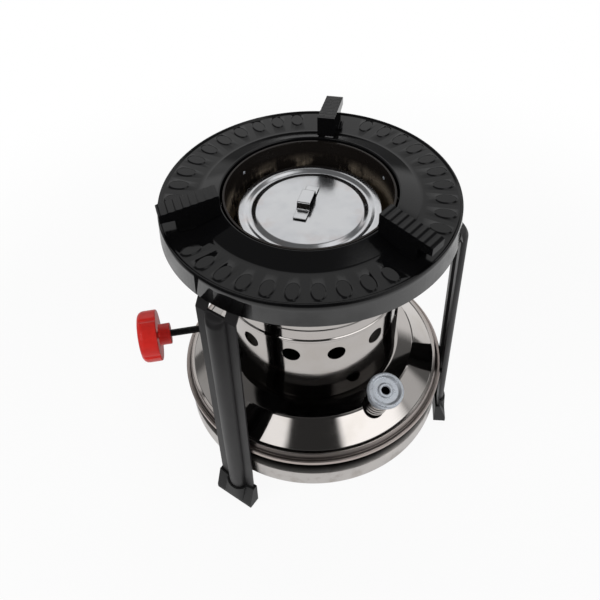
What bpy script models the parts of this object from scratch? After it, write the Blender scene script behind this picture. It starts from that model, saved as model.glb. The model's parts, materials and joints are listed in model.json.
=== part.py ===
"""Portable kerosene wick stove, built as its separate pieces.

Metres, +Z up. The origin is the centre of the fuel tank's flat underside, and the floor lies
STAND_HEIGHT below it. The control knob points along -X. Angles run anticlockwise from +X, seen
from above.
"""

import math

import bmesh
import bpy
from mathutils import Matrix, Vector
from mathutils.geometry import tessellate_polygon

# Fits
GAP = 0.0003  # between pieces that seat on each other
RUNNING_GAP = 0.0006  # between pieces that slide past each other
OVERRUN = 0.0020  # how far a cutting shape runs past the wall that it cuts
MERGE = 0.000001

# Sheet thicknesses
SHEET = 0.0008  # tank, casing, lid and wind sleeve
THIN_SHEET = 0.0006  # flame sleeves and wick tubes
PLATE_SHEET = 0.0010  # top plate
LEG_SHEET = 0.0012  # legs and pot rests
INNER_SHEET = 0.0012  # plates inside the burner

# The tank's seam, whose radius the other radii follow
SEAM_RADIUS = 0.1000

# Fuel tank: pan
STAND_HEIGHT = 0.0330  # floor to the tank's underside
PAN_RADIUS = SEAM_RADIUS * 0.960
PAN_CORNER = 0.0030
PAN_WALL_TOP = 0.0175
PAN_STEP_RISE = 0.0020
PAN_NECK_RADIUS = SEAM_RADIUS * 0.942

# Fuel tank: seam and dome, heights above the tank's underside
SEAM_TOP = 0.0355
SEAM_DEPTH = 0.0048
SEAM_LIP = 0.0035
SEAM_CORNER = 0.0008
SEAM_ROUND = 0.0026  # how far in the rolled edge's groove lies
SEAM_GROOVE = 0.0010
BEAD_INSET = 0.0018
BEAD_RISE = 0.0035
BEAD_WIDTH = 0.0013
BEAD_STEP = 0.0006
CREASE_RADIUS = SEAM_RADIUS * 0.758
CREASE_RISE = 0.0178
CREASE_LIP = 0.0004
CREASE_WIDTH = 0.0012
SHOULDER_RADIUS = SEAM_RADIUS * 0.645
SHOULDER_RISE = 0.0212
TANK_MOUTH_RADIUS = SEAM_RADIUS * 0.400

# Filler, measured along its own slanted axis from the dome
FILLER_ANGLE = math.radians(-67.6)
FILLER_RADIUS = SEAM_RADIUS * 0.785
FILLER_LEAN_ANGLE = math.radians(-74.4)  # the way in which the neck leans
FILLER_TILT = math.radians(19.3)
NECK_BORE_RADIUS = 0.0065
NECK_RADIUS = 0.0080
NECK_RING = 0.0005
NECK_RING_PITCH = 0.0044
NECK_RING_COUNT = 4
NECK_BELOW = 0.0105
NECK_LENGTH = 0.0320
CAP_RADIUS = 0.0122
CAP_RIM_DEPTH = 0.0045
CAP_RIM_ROUND = 0.0009
CAP_CEILING = 0.0013
CAP_DISH = 0.0013
CAP_HOLE_RADIUS = 0.0030
CAP_HUB_RADIUS = 0.0044
CAP_HUB_RISE = 0.0006
CAP_SKIRT_WALL = 0.0013
CAP_SKIRT_LENGTH = 0.0090
GASKET_THICKNESS = 0.0013
GASKET_BORE_RADIUS = 0.0050

# Outer casing, heights above the tank's underside
CASING_RADIUS = SEAM_RADIUS * 0.625
CASING_CORNER = 0.0010
CASING_FLANGE = 0.0045
CASING_BEAD = 0.0008
CASING_BEAD_LOW = 0.1195
CASING_BEAD_HEIGHT = 0.0026
CASING_RIB = 0.0005
CASING_RIB_LOW = 0.1310
CASING_RIB_HEIGHT = 0.0012
AIR_HOLE_RADIUS = 0.0062
AIR_HOLE_HEIGHT = 0.1065
AIR_HOLE_COUNT = 13
AIR_HOLE_ANGLE = math.radians(-85.7)

# Top plate, heights above the tank's underside
PLATE_HOLE_RADIUS = SEAM_RADIUS * 0.552
PLATE_BAND_TOP = 0.1895
PLATE_HOLE_RISE = 0.0051
PLATE_HOLE_TOP = PLATE_BAND_TOP + PLATE_HOLE_RISE
PLATE_LIP_DEPTH = 0.0080
PLATE_LIP_CORNER = 0.0008
PLATE_CONE_RADIUS = SEAM_RADIUS * 0.695
PLATE_CONE_FILLET = 0.0015
PLATE_BAND_RADIUS = SEAM_RADIUS * 0.918
PLATE_RIM_RADIUS = SEAM_RADIUS * 0.940
PLATE_RIM_RISE = 0.0010
PLATE_RIM_WIDTH = 0.0010
SKIRT_RADIUS = SEAM_RADIUS * 0.953
SKIRT_DEPTH = 0.0150
OVAL_COUNT = 10
OVAL_GROUP_COUNT = 3
OVAL_GROUP_ANGLE = math.radians(8.15)
OVAL_PITCH_ANGLE = math.radians(9.555)
OVAL_RADIUS = SEAM_RADIUS * 0.838
OVAL_LENGTH = SEAM_RADIUS * 0.139
OVAL_WIDTH = SEAM_RADIUS * 0.091
OVAL_RISE = 0.0008
OVAL_EDGE = 0.0006

# Pot rests
REST_COUNT = 3
REST_ANGLE = math.radians(68.0)
REST_INNER_RADIUS = SEAM_RADIUS * 0.570
REST_OUTER_RADIUS = SEAM_RADIUS * 0.935
REST_FOOT_RADIUS = SEAM_RADIUS * 0.840
REST_WIDTH = 0.0115
REST_RISE = 0.0134
REST_TOP = PLATE_BAND_TOP + REST_RISE  # at the outer end
REST_SLOPE = 0.139  # how fast the top rises towards the hole
REST_RIB_RISE = 0.0010
REST_RIB_WIDTH = 0.0022
REST_RIB_COUNT = 8
REST_END_DEPTH = 0.0055
REST_TAB_LENGTH = 0.0110
REST_TAB_WIDTH = 0.0020
REST_TAB_THICKNESS = 0.0008

# Legs
LEG_COUNT = 3
LEG_ANGLE = math.radians(105.0)
LEG_WIDTH = 0.0295
LEG_RIB_WIDTH = 0.0144
LEG_RIB_RISE = 0.0053
LEG_LEAN = 0.0395  # metres outwards for each metre down
LEG_RIB_DROP = 0.0229  # from the plate's face to the top of the rib
LEG_RIB_TOP = PLATE_BAND_TOP - LEG_RIB_DROP
LEG_SHOULDER = 0.0066
FLAT_RIB_SHARE = 0.02  # what is left of the rib's rise where it has run out
SHOULDER_SHARES = ((1.0, 1.0), (0.5, 0.93), (0.15, 0.7), (0.0, FLAT_RIB_SHARE))  # drop, rib's rise
LEG_ARCH_WIDTH = 0.0132
LEG_ARCH_LOW = 0.0008
LEG_ARCH_HEIGHT = 0.0062
LEG_TONGUE_RISE = 0.0055
LEG_BEND = 0.0030
LEG_TAB_INNER_RADIUS = SEAM_RADIUS * 0.785
TANK_TAB_WIDTH = 0.0040
TANK_TAB_REACH = 0.0033
TANK_TAB_PLACE = 0.0110

# Leg screws and weld nuts under the plate
SCREW_PLACE_RADIUS = SEAM_RADIUS * 0.835
NUT_SIDES = 6
NUT_RADIUS = 0.0040
NUT_HEIGHT = 0.0030
SCREW_RADIUS = 0.0017
SCREW_HEAD_RADIUS = 0.0036
SCREW_HEAD_HEIGHT = 0.0022
DRIVE_RADIUS = 0.0012
DRIVE_DEPTH = 0.0012

# Feet
FOOT_WALL = 0.0012
FOOT_SOLE = 0.0030
FOOT_SOLE_HEIGHT = 0.0040
FOOT_HEIGHT = 0.0180
FOOT_SPLAY = 0.0012

# Burner: base, tubes, wicks and gallery, heights above the tank's underside
WICK_COUNT = 8
WICK_RING_RADIUS = SEAM_RADIUS * 0.320
TUBE_RADIUS = 0.0055
TUBE_BELOW = 0.0050
TUBE_TOP = 0.1190
WICK_TOP = 0.1150
WICK_FLOOR_GAP = 0.0022
GALLERY_DROP = 0.0003
GALLERY_INNER_RADIUS = SEAM_RADIUS * 0.215
GALLERY_RADIUS = SEAM_RADIUS * 0.455

# Wick lift
LIFT = 0.0120
CARRIER_RADIUS = SEAM_RADIUS * 0.410
CARRIER_BORE_RADIUS = SEAM_RADIUS * 0.140
CARRIER_RISE = 0.0013  # over the burner's base
PRONG_WIDTH = 0.0016
SHAFT_HEIGHT = 0.0800
SHAFT_RADIUS = 0.00255
SHAFT_INNER_END = 0.0110
MODULE = 0.0010
PINION_TEETH = 10
ADDENDUM = 0.0008
DEDENDUM = 0.0012
BACKLASH = 0.0005
PRESSURE_ANGLE = math.radians(20.0)
PINION_LENGTH = 0.0080
RACK_WIDTH = 0.0050
RACK_BACK = 0.0034
RACK_FOOT_THICKNESS = 0.0016
RACK_FOOT_REACH = SEAM_RADIUS * 0.200
RACK_TOP = 0.0880
BRACKET_PLACE = 0.0080
BRACKET_FOOT = 0.0040
BRACKET_WIDTH = 0.0090
BRACKET_TOP_MARGIN = 0.0020
BUSH_RADIUS = 0.0050
BUSH_FLANGE_RADIUS = 0.0070
BUSH_FLANGE_THICKNESS = 0.0014
BUSH_INNER_LENGTH = 0.0022
BUSH_NOSE = 0.0010

# Knob, measured along the shaft from the stove's middle
KNOB_BACK = SEAM_RADIUS * 1.046
KNOB_HUB_LENGTH = 0.0082
KNOB_HUB_RADIUS = 0.00775
KNOB_LENGTH = 0.0224
KNOB_FACE = KNOB_BACK + KNOB_LENGTH
KNOB_RADIUS = 0.0188
KNOB_BACK_CORNER = 0.0008
KNOB_FRONT_ROUND = 0.0045
KNOB_CROWN = 0.0006
KNOB_BORE_DEPTH = 0.0157
FLUTE_COUNT = 4
FLUTE_ANGLE = math.radians(-4.0)
FLUTE_RADIUS = 0.0024
FLUTE_DEPTH = 0.0010
SET_SCREW_ANGLE = math.radians(49.0)
SET_SCREW_RADIUS = 0.0015
SET_SCREW_INSET = 0.0006

# Flame sleeves, wind sleeve, baffle and lid
WIND_SLEEVE_RADIUS = SEAM_RADIUS * 0.534
WIND_SLEEVE_RIM = 0.0006
WIND_SLEEVE_RIM_HEIGHT = 0.0012
WIND_SLEEVE_DROP = 0.0020  # the rim lies this far under the plate's hole
OUTER_SLEEVE_RADIUS = SEAM_RADIUS * 0.430
INNER_SLEEVE_RADIUS = SEAM_RADIUS * 0.250
INNER_SLEEVE_DROP = 0.0050
SLEEVE_HOLE_RADIUS = 0.0017
SLEEVE_HOLE_ROWS = 2
SLEEVE_HOLE_PITCH = 0.0220
SLEEVE_HOLE_LOW = 0.0120
OUTER_SLEEVE_HOLES = 12
INNER_SLEEVE_HOLES = 8
SLEEVE_PIN_RADIUS = 0.0012
SLEEVE_PIN_RISE = 0.0270
SLEEVE_PIN_COUNT = 3
SLEEVE_PIN_ANGLE = math.radians(60.0)
LID_DROP = 0.0110  # from the plate's face to the lid's
LID_TOP = PLATE_BAND_TOP - LID_DROP
LID_RADIUS = SEAM_RADIUS * 0.458
LID_CORNER = 0.0008
LID_EDGE_DEPTH = 0.0020
LID_GROOVE_OUTER = SEAM_RADIUS * 0.417
LID_GROOVE_INNER = SEAM_RADIUS * 0.345
LID_GROOVE_SLOPE = 0.0014
LID_GROOVE_DEPTH = 0.0022
HANDLE_ANGLE = math.radians(64.0)
HANDLE_PLACE = (-0.0012, 0.0050)
HANDLE_LENGTH = 0.0340
HANDLE_WIDTH = 0.0085
HANDLE_SHEET = 0.0010
HANDLE_FOOT = 0.0085
HANDLE_SLOPE = 0.0018
HANDLE_CLEARANCE = 0.0046

# Facets
ROUND_STEPS = 40
INNER_STEPS = 32
TUBE_STEPS = 12
SMALL_STEPS = 10
ROD_STEPS = 16
CAP_STEPS = 24
KNOB_STEPS = 32
CORNER_STEPS = 2
RIB_STEPS = 6
PERFORATION_STEPS = 4
SHARP_ANGLE = math.radians(32.0)


def clear_scene():
    for item in list(bpy.data.objects):
        bpy.data.objects.remove(item, do_unlink=True)


def make_finish(name, colour, roughness, metallic):
    finish = bpy.data.materials.new(name)
    finish.use_nodes = True
    shader = finish.node_tree.nodes["Principled BSDF"]
    shader.inputs["Base Color"].default_value = (*colour, 1.0)
    shader.inputs["Roughness"].default_value = roughness
    shader.inputs["Metallic"].default_value = metallic
    finish.diffuse_color = (*colour, 1.0)
    return finish


def make_finishes():
    return {
        "bright_steel": make_finish("bright_steel", (0.74, 0.72, 0.69), 0.10, 1.0),
        "satin_steel": make_finish("satin_steel", (0.56, 0.54, 0.52), 0.34, 1.0),
        "lid_steel": make_finish("lid_steel", (0.62, 0.63, 0.65), 0.26, 1.0),
        "heated_steel": make_finish("heated_steel", (0.42, 0.36, 0.28), 0.28, 1.0),
        "black_enamel": make_finish("black_enamel", (0.012, 0.012, 0.013), 0.18, 0.0),
        "leg_paint": make_finish("leg_paint", (0.050, 0.049, 0.051), 0.40, 0.0),
        "black_plastic": make_finish("black_plastic", (0.018, 0.018, 0.019), 0.45, 0.0),
        "black_rod": make_finish("black_rod", (0.020, 0.020, 0.020), 0.38, 0.6),
        "red_plastic": make_finish("red_plastic", (0.55, 0.018, 0.012), 0.35, 0.0),
        "zinc": make_finish("zinc", (0.60, 0.64, 0.70), 0.25, 1.0),
        "inner_steel": make_finish("inner_steel", (0.40, 0.39, 0.37), 0.40, 1.0),
        "cotton": make_finish("cotton", (0.78, 0.72, 0.60), 0.95, 0.0),
        "rubber": make_finish("rubber", (0.015, 0.015, 0.015), 0.80, 0.0),
    }


def direction(start, end):
    return (Vector(end) - Vector(start)).normalized()


def offset_path(path, distance):
    """Copy an open path to the left of its direction, with mitred corners."""
    moved = []
    last = len(path) - 1
    for index, point in enumerate(path):
        before = direction(path[max(index, 1) - 1], path[max(index, 1)])
        after = direction(path[min(index, last - 1)], path[min(index, last - 1) + 1])
        left_before = Vector((-before.y, before.x))
        left_after = Vector((-after.y, after.x))
        mitre = (left_before + left_after) / (1 + left_before.dot(left_after))
        moved.append(tuple(Vector(point) + mitre * distance))
    return moved


def sheet_outline(path, thickness, inside=None):
    """Close a path with a copy of it, or of a plainer one for the hidden side. The copy lies to
    the left where thickness is positive."""
    return list(path) + offset_path(inside or path, thickness)[::-1]


def corner_arc(centre, radius, start, end, steps=CORNER_STEPS):
    """Points on an arc, with its angles in degrees."""
    points = []
    for step in range(steps + 1):
        angle = math.radians(start + (end - start) * step / steps)
        points.append((centre[0] + radius * math.cos(angle), centre[1] + radius * math.sin(angle)))
    return points


def circle(radius, steps, centre=(0, 0), turn=0):
    points = []
    for step in range(steps):
        angle = turn + math.tau * step / steps
        points.append((centre[0] + radius * math.cos(angle), centre[1] + radius * math.sin(angle)))
    return points


def polar(radius, angle):
    return (radius * math.cos(angle), radius * math.sin(angle))


def angles_round(count, start=0):
    return [start + math.tau * index / count for index in range(count)]


def tidy(shape):
    bmesh.ops.remove_doubles(shape, verts=shape.verts, dist=MERGE)
    bmesh.ops.recalc_face_normals(shape, faces=shape.faces)
    return shape


def turned(outline, steps):
    """Turn an outline of (radius, height) points about the Z axis. One that starts on the
    axis also ends there, and any other is closed."""
    shape = bmesh.new()
    corners = [shape.verts.new((radius, 0, height)) for radius, height in outline]
    edges = [shape.edges.new(pair) for pair in zip(corners, corners[1:])]
    if outline[0][0] > MERGE:
        edges.append(shape.edges.new((corners[-1], corners[0])))
    outline_parts = corners + edges
    bmesh.ops.spin(
        shape,
        geom=outline_parts,
        cent=(0, 0, 0),
        axis=(0, 0, 1),
        angle=math.tau,
        steps=steps,
        use_merge=True,
    )
    return tidy(shape)


def prism(loops, low, high):
    """Raise a flat outline between two heights. The first loop is the outside, the others holes."""
    shape = bmesh.new()
    flat = [Vector((x, y, 0)) for loop in loops for x, y in loop]
    lower = [shape.verts.new((point.x, point.y, low)) for point in flat]
    upper = [shape.verts.new((point.x, point.y, high)) for point in flat]
    for triangle in tessellate_polygon([[Vector((x, y, 0)) for x, y in loop] for loop in loops]):
        shape.faces.new([lower[index] for index in triangle])
        shape.faces.new([upper[index] for index in reversed(triangle)])
    first = 0
    for loop in loops:
        for index in range(len(loop)):
            here = first + index
            after = first + (index + 1) % len(loop)
            shape.faces.new((lower[here], lower[after], upper[after], upper[here]))
        first += len(loop)
    return tidy(shape)


def lofted(sections):
    """Join sections of equally many points with side faces and close both ends."""
    shape = bmesh.new()
    rings = [[shape.verts.new(point) for point in section] for section in sections]
    for ring, following in zip(rings, rings[1:]):
        for index in range(len(ring)):
            after = (index + 1) % len(ring)
            shape.faces.new((ring[index], ring[after], following[after], following[index]))
    shape.faces.new(rings[0])
    shape.faces.new(rings[-1][::-1])
    return tidy(shape)


def box(low, high):
    corners = [(low[0], low[1]), (high[0], low[1]), (high[0], high[1]), (low[0], high[1])]
    return prism([corners], low[2], high[2])


def rod(radius, low, high, steps=ROD_STEPS):
    return prism([circle(radius, steps)], low, high)


def joined(shapes):
    """Put several shapes in one, as a cutting tool."""
    whole = bmesh.new()
    for shape in shapes:
        mesh = bpy.data.meshes.new("tool")
        shape.to_mesh(mesh)
        shape.free()
        whole.from_mesh(mesh)
        bpy.data.meshes.remove(mesh)
    return whole


def moved(shape, matrix):
    shape.transform(matrix)
    return shape


# The plane of an outline turned upright: its second axis points up
ACROSS_Y = Matrix(((1, 0, 0, 0), (0, 0, -1, 0), (0, 1, 0, 0), (0, 0, 0, 1)))
ACROSS_X = Matrix(((0, 0, 1, 0), (1, 0, 0, 0), (0, 1, 0, 0), (0, 0, 0, 1)))


def radial(angle, height):
    """Carry a shape along +Z to one that points outwards at this angle and height."""
    turn = Matrix.Rotation(angle, 4, "Z")
    return turn @ Matrix.Translation((0, 0, height)) @ Matrix.Rotation(math.pi / 2, 4, "Y")


def add_mesh(name, shape):
    mesh = bpy.data.meshes.new(name)
    shape.to_mesh(mesh)
    shape.free()
    mesh.shade_smooth()
    mesh.set_sharp_from_angle(angle=SHARP_ANGLE)
    return mesh


def add_object(name, mesh, parent=None):
    item = bpy.data.objects.new(name, mesh)
    bpy.context.collection.objects.link(item)
    item.parent = parent
    return item


def add_part(name, shape, finish, parent=None):
    mesh = add_mesh(name, shape)
    mesh.materials.append(finish)
    return add_object(name, mesh, parent)


def add_copies(name, count, shape, finish, angles, radius=0):
    """Objects that share one mesh, each turned to its angle, and numbered from 1."""
    mesh = add_mesh(name, shape)
    mesh.materials.append(finish)
    copies = []
    for number, angle in zip(range(1, count + 1), angles):
        item = add_object(f"{name}_{number}", mesh)
        item.location = (*polar(radius, angle), 0)
        item.rotation_euler = (0, 0, angle)
        copies.append(item)
    return copies


def change(part, name, shape, operation="DIFFERENCE"):
    """Cut a shape out of a part, or join it on, with the shape placed in the part's own frame."""
    tool = add_object(f"{part.name}_{name}", add_mesh(name, shape), part)
    tool.hide_render = True
    tool.display_type = "WIRE"
    step = part.modifiers.new(name, "BOOLEAN")
    step.operation = operation
    step.solver = "EXACT"
    step.object = tool


def add_frame(name, matrix):
    frame = add_object(name, None)
    frame.matrix_world = matrix
    return frame


# Places that several pieces share
SEAM_LOW = SEAM_TOP - SEAM_DEPTH
CROWN_TOP = SEAM_TOP + SHOULDER_RISE
BASE_LOW = CROWN_TOP + GAP
BASE_TOP = BASE_LOW + INNER_SHEET
CARRIER_LOW = BASE_TOP + CARRIER_RISE
CARRIER_TOP = CARRIER_LOW + INNER_SHEET
TUBE_BORE_RADIUS = TUBE_RADIUS - THIN_SHEET
WICK_RADIUS = TUBE_BORE_RADIUS - GAP
GALLERY_TOP = TUBE_TOP - GALLERY_DROP
BAFFLE_LOW = CASING_BEAD_LOW + CASING_BEAD + GAP
PLATE_CONE_FALL = (PLATE_HOLE_TOP - PLATE_BAND_TOP) / (PLATE_CONE_RADIUS - PLATE_HOLE_RADIUS)
BAND_UNDER = PLATE_BAND_TOP - PLATE_SHEET
SKIRT_LOW = PLATE_BAND_TOP - SKIRT_DEPTH
LEG_BACK_AT_SEAM = SEAM_RADIUS + GAP
LEG_CREST = LEG_SHEET + LEG_RIB_RISE
FLOOR = -STAND_HEIGHT
LID_UNDER = LID_TOP - SHEET
PITCH_RADIUS = MODULE * PINION_TEETH / 2
TOOTH_PITCH = math.pi * MODULE
SHAFT_BORE_RADIUS = SHAFT_RADIUS + GAP
NECK_BASE = (*polar(FILLER_RADIUS, FILLER_ANGLE), SEAM_TOP + CREASE_RISE)


def cone_height(radius):
    """Height of the top plate's upper face over its raised middle."""
    return PLATE_BAND_TOP + (PLATE_CONE_RADIUS - radius) * PLATE_CONE_FALL


def rest_height(radius):
    """Height of a pot rest's top between its ribs."""
    return REST_TOP + (REST_OUTER_RADIUS - radius) * REST_SLOPE


def leg_back(height):
    """Distance from the stove's axis to the back of a leg's flanges."""
    return LEG_BACK_AT_SEAM + (SEAM_TOP - height) * LEG_LEAN


def add_tank(finishes):
    flange_low = SEAM_LOW + SHEET + GAP
    flange_radius = SEAM_RADIUS - SHEET - GAP
    pan_path = [(0, 0)]
    pan_path += corner_arc((PAN_RADIUS - PAN_CORNER, PAN_CORNER), PAN_CORNER, -90, 0)
    pan_path += [
        (PAN_RADIUS, PAN_WALL_TOP),
        (PAN_NECK_RADIUS, PAN_WALL_TOP + PAN_STEP_RISE),
        (PAN_NECK_RADIUS, flange_low),
        (flange_radius, flange_low),
    ]
    pan_inside = [(0, 0), (PAN_RADIUS, 0)] + pan_path[-4:]
    pan = turned(sheet_outline(pan_path, SHEET, pan_inside), ROUND_STEPS)
    add_part("tank_pan", pan, finishes["satin_steel"])

    groove_radius = SEAM_RADIUS - SEAM_ROUND
    bead_radius = groove_radius - BEAD_INSET
    crease_top = SEAM_TOP + CREASE_RISE
    seam = [
        (SEAM_RADIUS - SEAM_LIP, SEAM_LOW),
        (SEAM_RADIUS, SEAM_LOW),
        (SEAM_RADIUS, SEAM_TOP - SEAM_CORNER),
        (SEAM_RADIUS - SEAM_CORNER, SEAM_TOP),
        (groove_radius, SEAM_TOP - SEAM_GROOVE),
    ]
    bead = [
        (bead_radius, SEAM_TOP + BEAD_RISE - BEAD_STEP),
        (bead_radius - BEAD_WIDTH, SEAM_TOP + BEAD_RISE),
        (bead_radius - BEAD_WIDTH * 2, SEAM_TOP + BEAD_RISE),
        (CREASE_RADIUS + CREASE_WIDTH, crease_top - CREASE_LIP),
    ]
    crown = [
        (CREASE_RADIUS, crease_top + CREASE_LIP),
        (SHOULDER_RADIUS, CROWN_TOP),
        (TANK_MOUTH_RADIUS, CROWN_TOP),
    ]
    shape = turned(sheet_outline(seam + bead + crown, SHEET, seam + crown), ROUND_STEPS)
    top = add_part("tank_top", shape, finishes["bright_steel"])
    hole = rod(NECK_RADIUS + GAP, -NECK_BELOW - OVERRUN, NECK_BELOW + OVERRUN, CAP_STEPS)
    change(top, "filler_hole", moved(hole, filler_matrix()))


def filler_matrix():
    return (
        Matrix.Translation(NECK_BASE)
        @ Matrix.Rotation(FILLER_LEAN_ANGLE, 4, "Z")
        @ Matrix.Rotation(FILLER_TILT, 4, "Y")
    )


def add_filler(finishes):
    frame = add_frame("filler_axis", filler_matrix())
    neck_path = [(NECK_RADIUS, -NECK_BELOW)]
    for ring in range(NECK_RING_COUNT):
        low = NECK_RING_PITCH * (ring + 1)
        neck_path += [
            (NECK_RADIUS, low - NECK_RING * 2),
            (NECK_RADIUS + NECK_RING, low),
            (NECK_RADIUS, low + NECK_RING * 2),
        ]
    neck_path += [(NECK_RADIUS, NECK_LENGTH), (NECK_BORE_RADIUS, NECK_LENGTH)]
    neck_path.append((NECK_BORE_RADIUS, -NECK_BELOW))
    add_part("filler_neck", turned(neck_path, CAP_STEPS), finishes["bright_steel"], frame)

    gasket_low = NECK_LENGTH + GAP
    gasket_top = gasket_low + GASKET_THICKNESS
    socket_radius = NECK_RADIUS + GAP
    loops = [circle(NECK_RADIUS, CAP_STEPS), circle(GASKET_BORE_RADIUS, CAP_STEPS)]
    add_part("cap_gasket", prism(loops, gasket_low, gasket_top), finishes["rubber"], frame)

    ceiling = gasket_top + GAP
    face = ceiling + CAP_CEILING
    rim_top = face + CAP_DISH
    rim_low = rim_top - CAP_RIM_DEPTH
    skirt_radius = socket_radius + CAP_SKIRT_WALL
    skirt_low = rim_low - CAP_SKIRT_LENGTH
    slope_radius = CAP_RADIUS - CAP_RIM_ROUND * 2
    cap = [(CAP_HOLE_RADIUS, ceiling), (CAP_HOLE_RADIUS, face + CAP_HUB_RISE)]
    cap += [(CAP_HUB_RADIUS, face + CAP_HUB_RISE), (CAP_HUB_RADIUS + CAP_HUB_RISE, face)]
    cap += [(slope_radius - CAP_DISH, face), (slope_radius, rim_top)]
    cap += corner_arc((CAP_RADIUS - CAP_RIM_ROUND, rim_top - CAP_RIM_ROUND), CAP_RIM_ROUND, 90, 0)
    cap += corner_arc((CAP_RADIUS - CAP_RIM_ROUND, rim_low + CAP_RIM_ROUND), CAP_RIM_ROUND, 0, -90)
    cap += [(skirt_radius, rim_low), (skirt_radius, skirt_low)]
    cap += [(socket_radius, skirt_low), (socket_radius, ceiling)]
    add_part("filler_cap", turned(cap, CAP_STEPS), finishes["zinc"], frame)


def add_casing(finishes):
    low = BASE_LOW
    top = cone_height(CASING_RADIUS) - PLATE_SHEET * math.hypot(1, PLATE_CONE_FALL) - GAP
    outline = [
        (CASING_RADIUS - CASING_FLANGE, low),
        (CASING_RADIUS - CASING_CORNER, low),
        (CASING_RADIUS, low + CASING_CORNER),
        (CASING_RADIUS, CASING_BEAD_LOW),
        (CASING_RADIUS + CASING_BEAD, CASING_BEAD_LOW + CASING_BEAD),
        (CASING_RADIUS + CASING_BEAD, CASING_BEAD_LOW + CASING_BEAD_HEIGHT),
        (CASING_RADIUS, CASING_BEAD_LOW + CASING_BEAD_HEIGHT + CASING_BEAD),
        (CASING_RADIUS, CASING_RIB_LOW),
        (CASING_RADIUS + CASING_RIB, CASING_RIB_LOW + CASING_RIB_HEIGHT / 2),
        (CASING_RADIUS, CASING_RIB_LOW + CASING_RIB_HEIGHT),
        (CASING_RADIUS, top),
        (CASING_RADIUS - SHEET, top),
        (CASING_RADIUS - SHEET, low + SHEET),
        (CASING_RADIUS - CASING_FLANGE, low + SHEET),
    ]
    casing = add_part("outer_casing", turned(outline, ROUND_STEPS), finishes["bright_steel"])
    inside = CASING_RADIUS - SHEET - OVERRUN
    outside = CASING_RADIUS + OVERRUN
    tools = [
        moved(rod(AIR_HOLE_RADIUS, inside, outside, SMALL_STEPS), radial(angle, AIR_HOLE_HEIGHT))
        for angle in angles_round(AIR_HOLE_COUNT, AIR_HOLE_ANGLE)
    ]
    tools.append(moved(rod(BUSH_RADIUS + GAP, inside, outside), radial(math.pi, SHAFT_HEIGHT)))
    change(casing, "holes", joined(tools))


def add_top_plate(finishes):
    cone_rise = PLATE_CONE_FILLET * PLATE_CONE_FALL
    path = [
        (PLATE_HOLE_RADIUS, PLATE_HOLE_TOP - PLATE_LIP_DEPTH),
        (PLATE_HOLE_RADIUS, PLATE_HOLE_TOP - PLATE_LIP_CORNER),
        (PLATE_HOLE_RADIUS + PLATE_LIP_CORNER, cone_height(PLATE_HOLE_RADIUS + PLATE_LIP_CORNER)),
        (PLATE_CONE_RADIUS - PLATE_CONE_FILLET, PLATE_BAND_TOP + cone_rise),
        (PLATE_CONE_RADIUS + PLATE_CONE_FILLET, PLATE_BAND_TOP),
        (PLATE_BAND_RADIUS, PLATE_BAND_TOP),
        (PLATE_RIM_RADIUS - PLATE_RIM_WIDTH, PLATE_BAND_TOP + PLATE_RIM_RISE),
        (PLATE_RIM_RADIUS, PLATE_BAND_TOP + PLATE_RIM_RISE - PLATE_RIM_WIDTH / 2),
        (SKIRT_RADIUS, SKIRT_LOW),
    ]
    inside = [
        path[0],
        (PLATE_HOLE_RADIUS, PLATE_HOLE_TOP),
        (PLATE_CONE_RADIUS, PLATE_BAND_TOP),
        (PLATE_RIM_RADIUS, PLATE_BAND_TOP),
        path[-1],
    ]
    shape = turned(sheet_outline(path, -PLATE_SHEET, inside), ROUND_STEPS)
    plate = add_part("top_plate", shape, finishes["black_enamel"])
    ovals = []
    for group in angles_round(OVAL_GROUP_COUNT, OVAL_GROUP_ANGLE):
        for index in range(OVAL_COUNT):
            angle = group + (index - (OVAL_COUNT - 1) / 2) * OVAL_PITCH_ANGLE
            ovals.append(moved(raised_oval(), Matrix.Rotation(angle, 4, "Z")))
    change(plate, "ovals", joined(ovals), "UNION")


def raised_oval():
    sections = []
    middle = PLATE_BAND_TOP - PLATE_SHEET / 2
    for inset, height in ((0, middle), (0, PLATE_BAND_TOP), (OVAL_EDGE, PLATE_BAND_TOP + OVAL_RISE)):
        ring = circle(1, SMALL_STEPS)
        length = OVAL_LENGTH / 2 - inset
        width = OVAL_WIDTH / 2 - inset
        sections.append([(OVAL_RADIUS + x * length, y * width, height) for x, y in ring])
    return lofted(sections)


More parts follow.
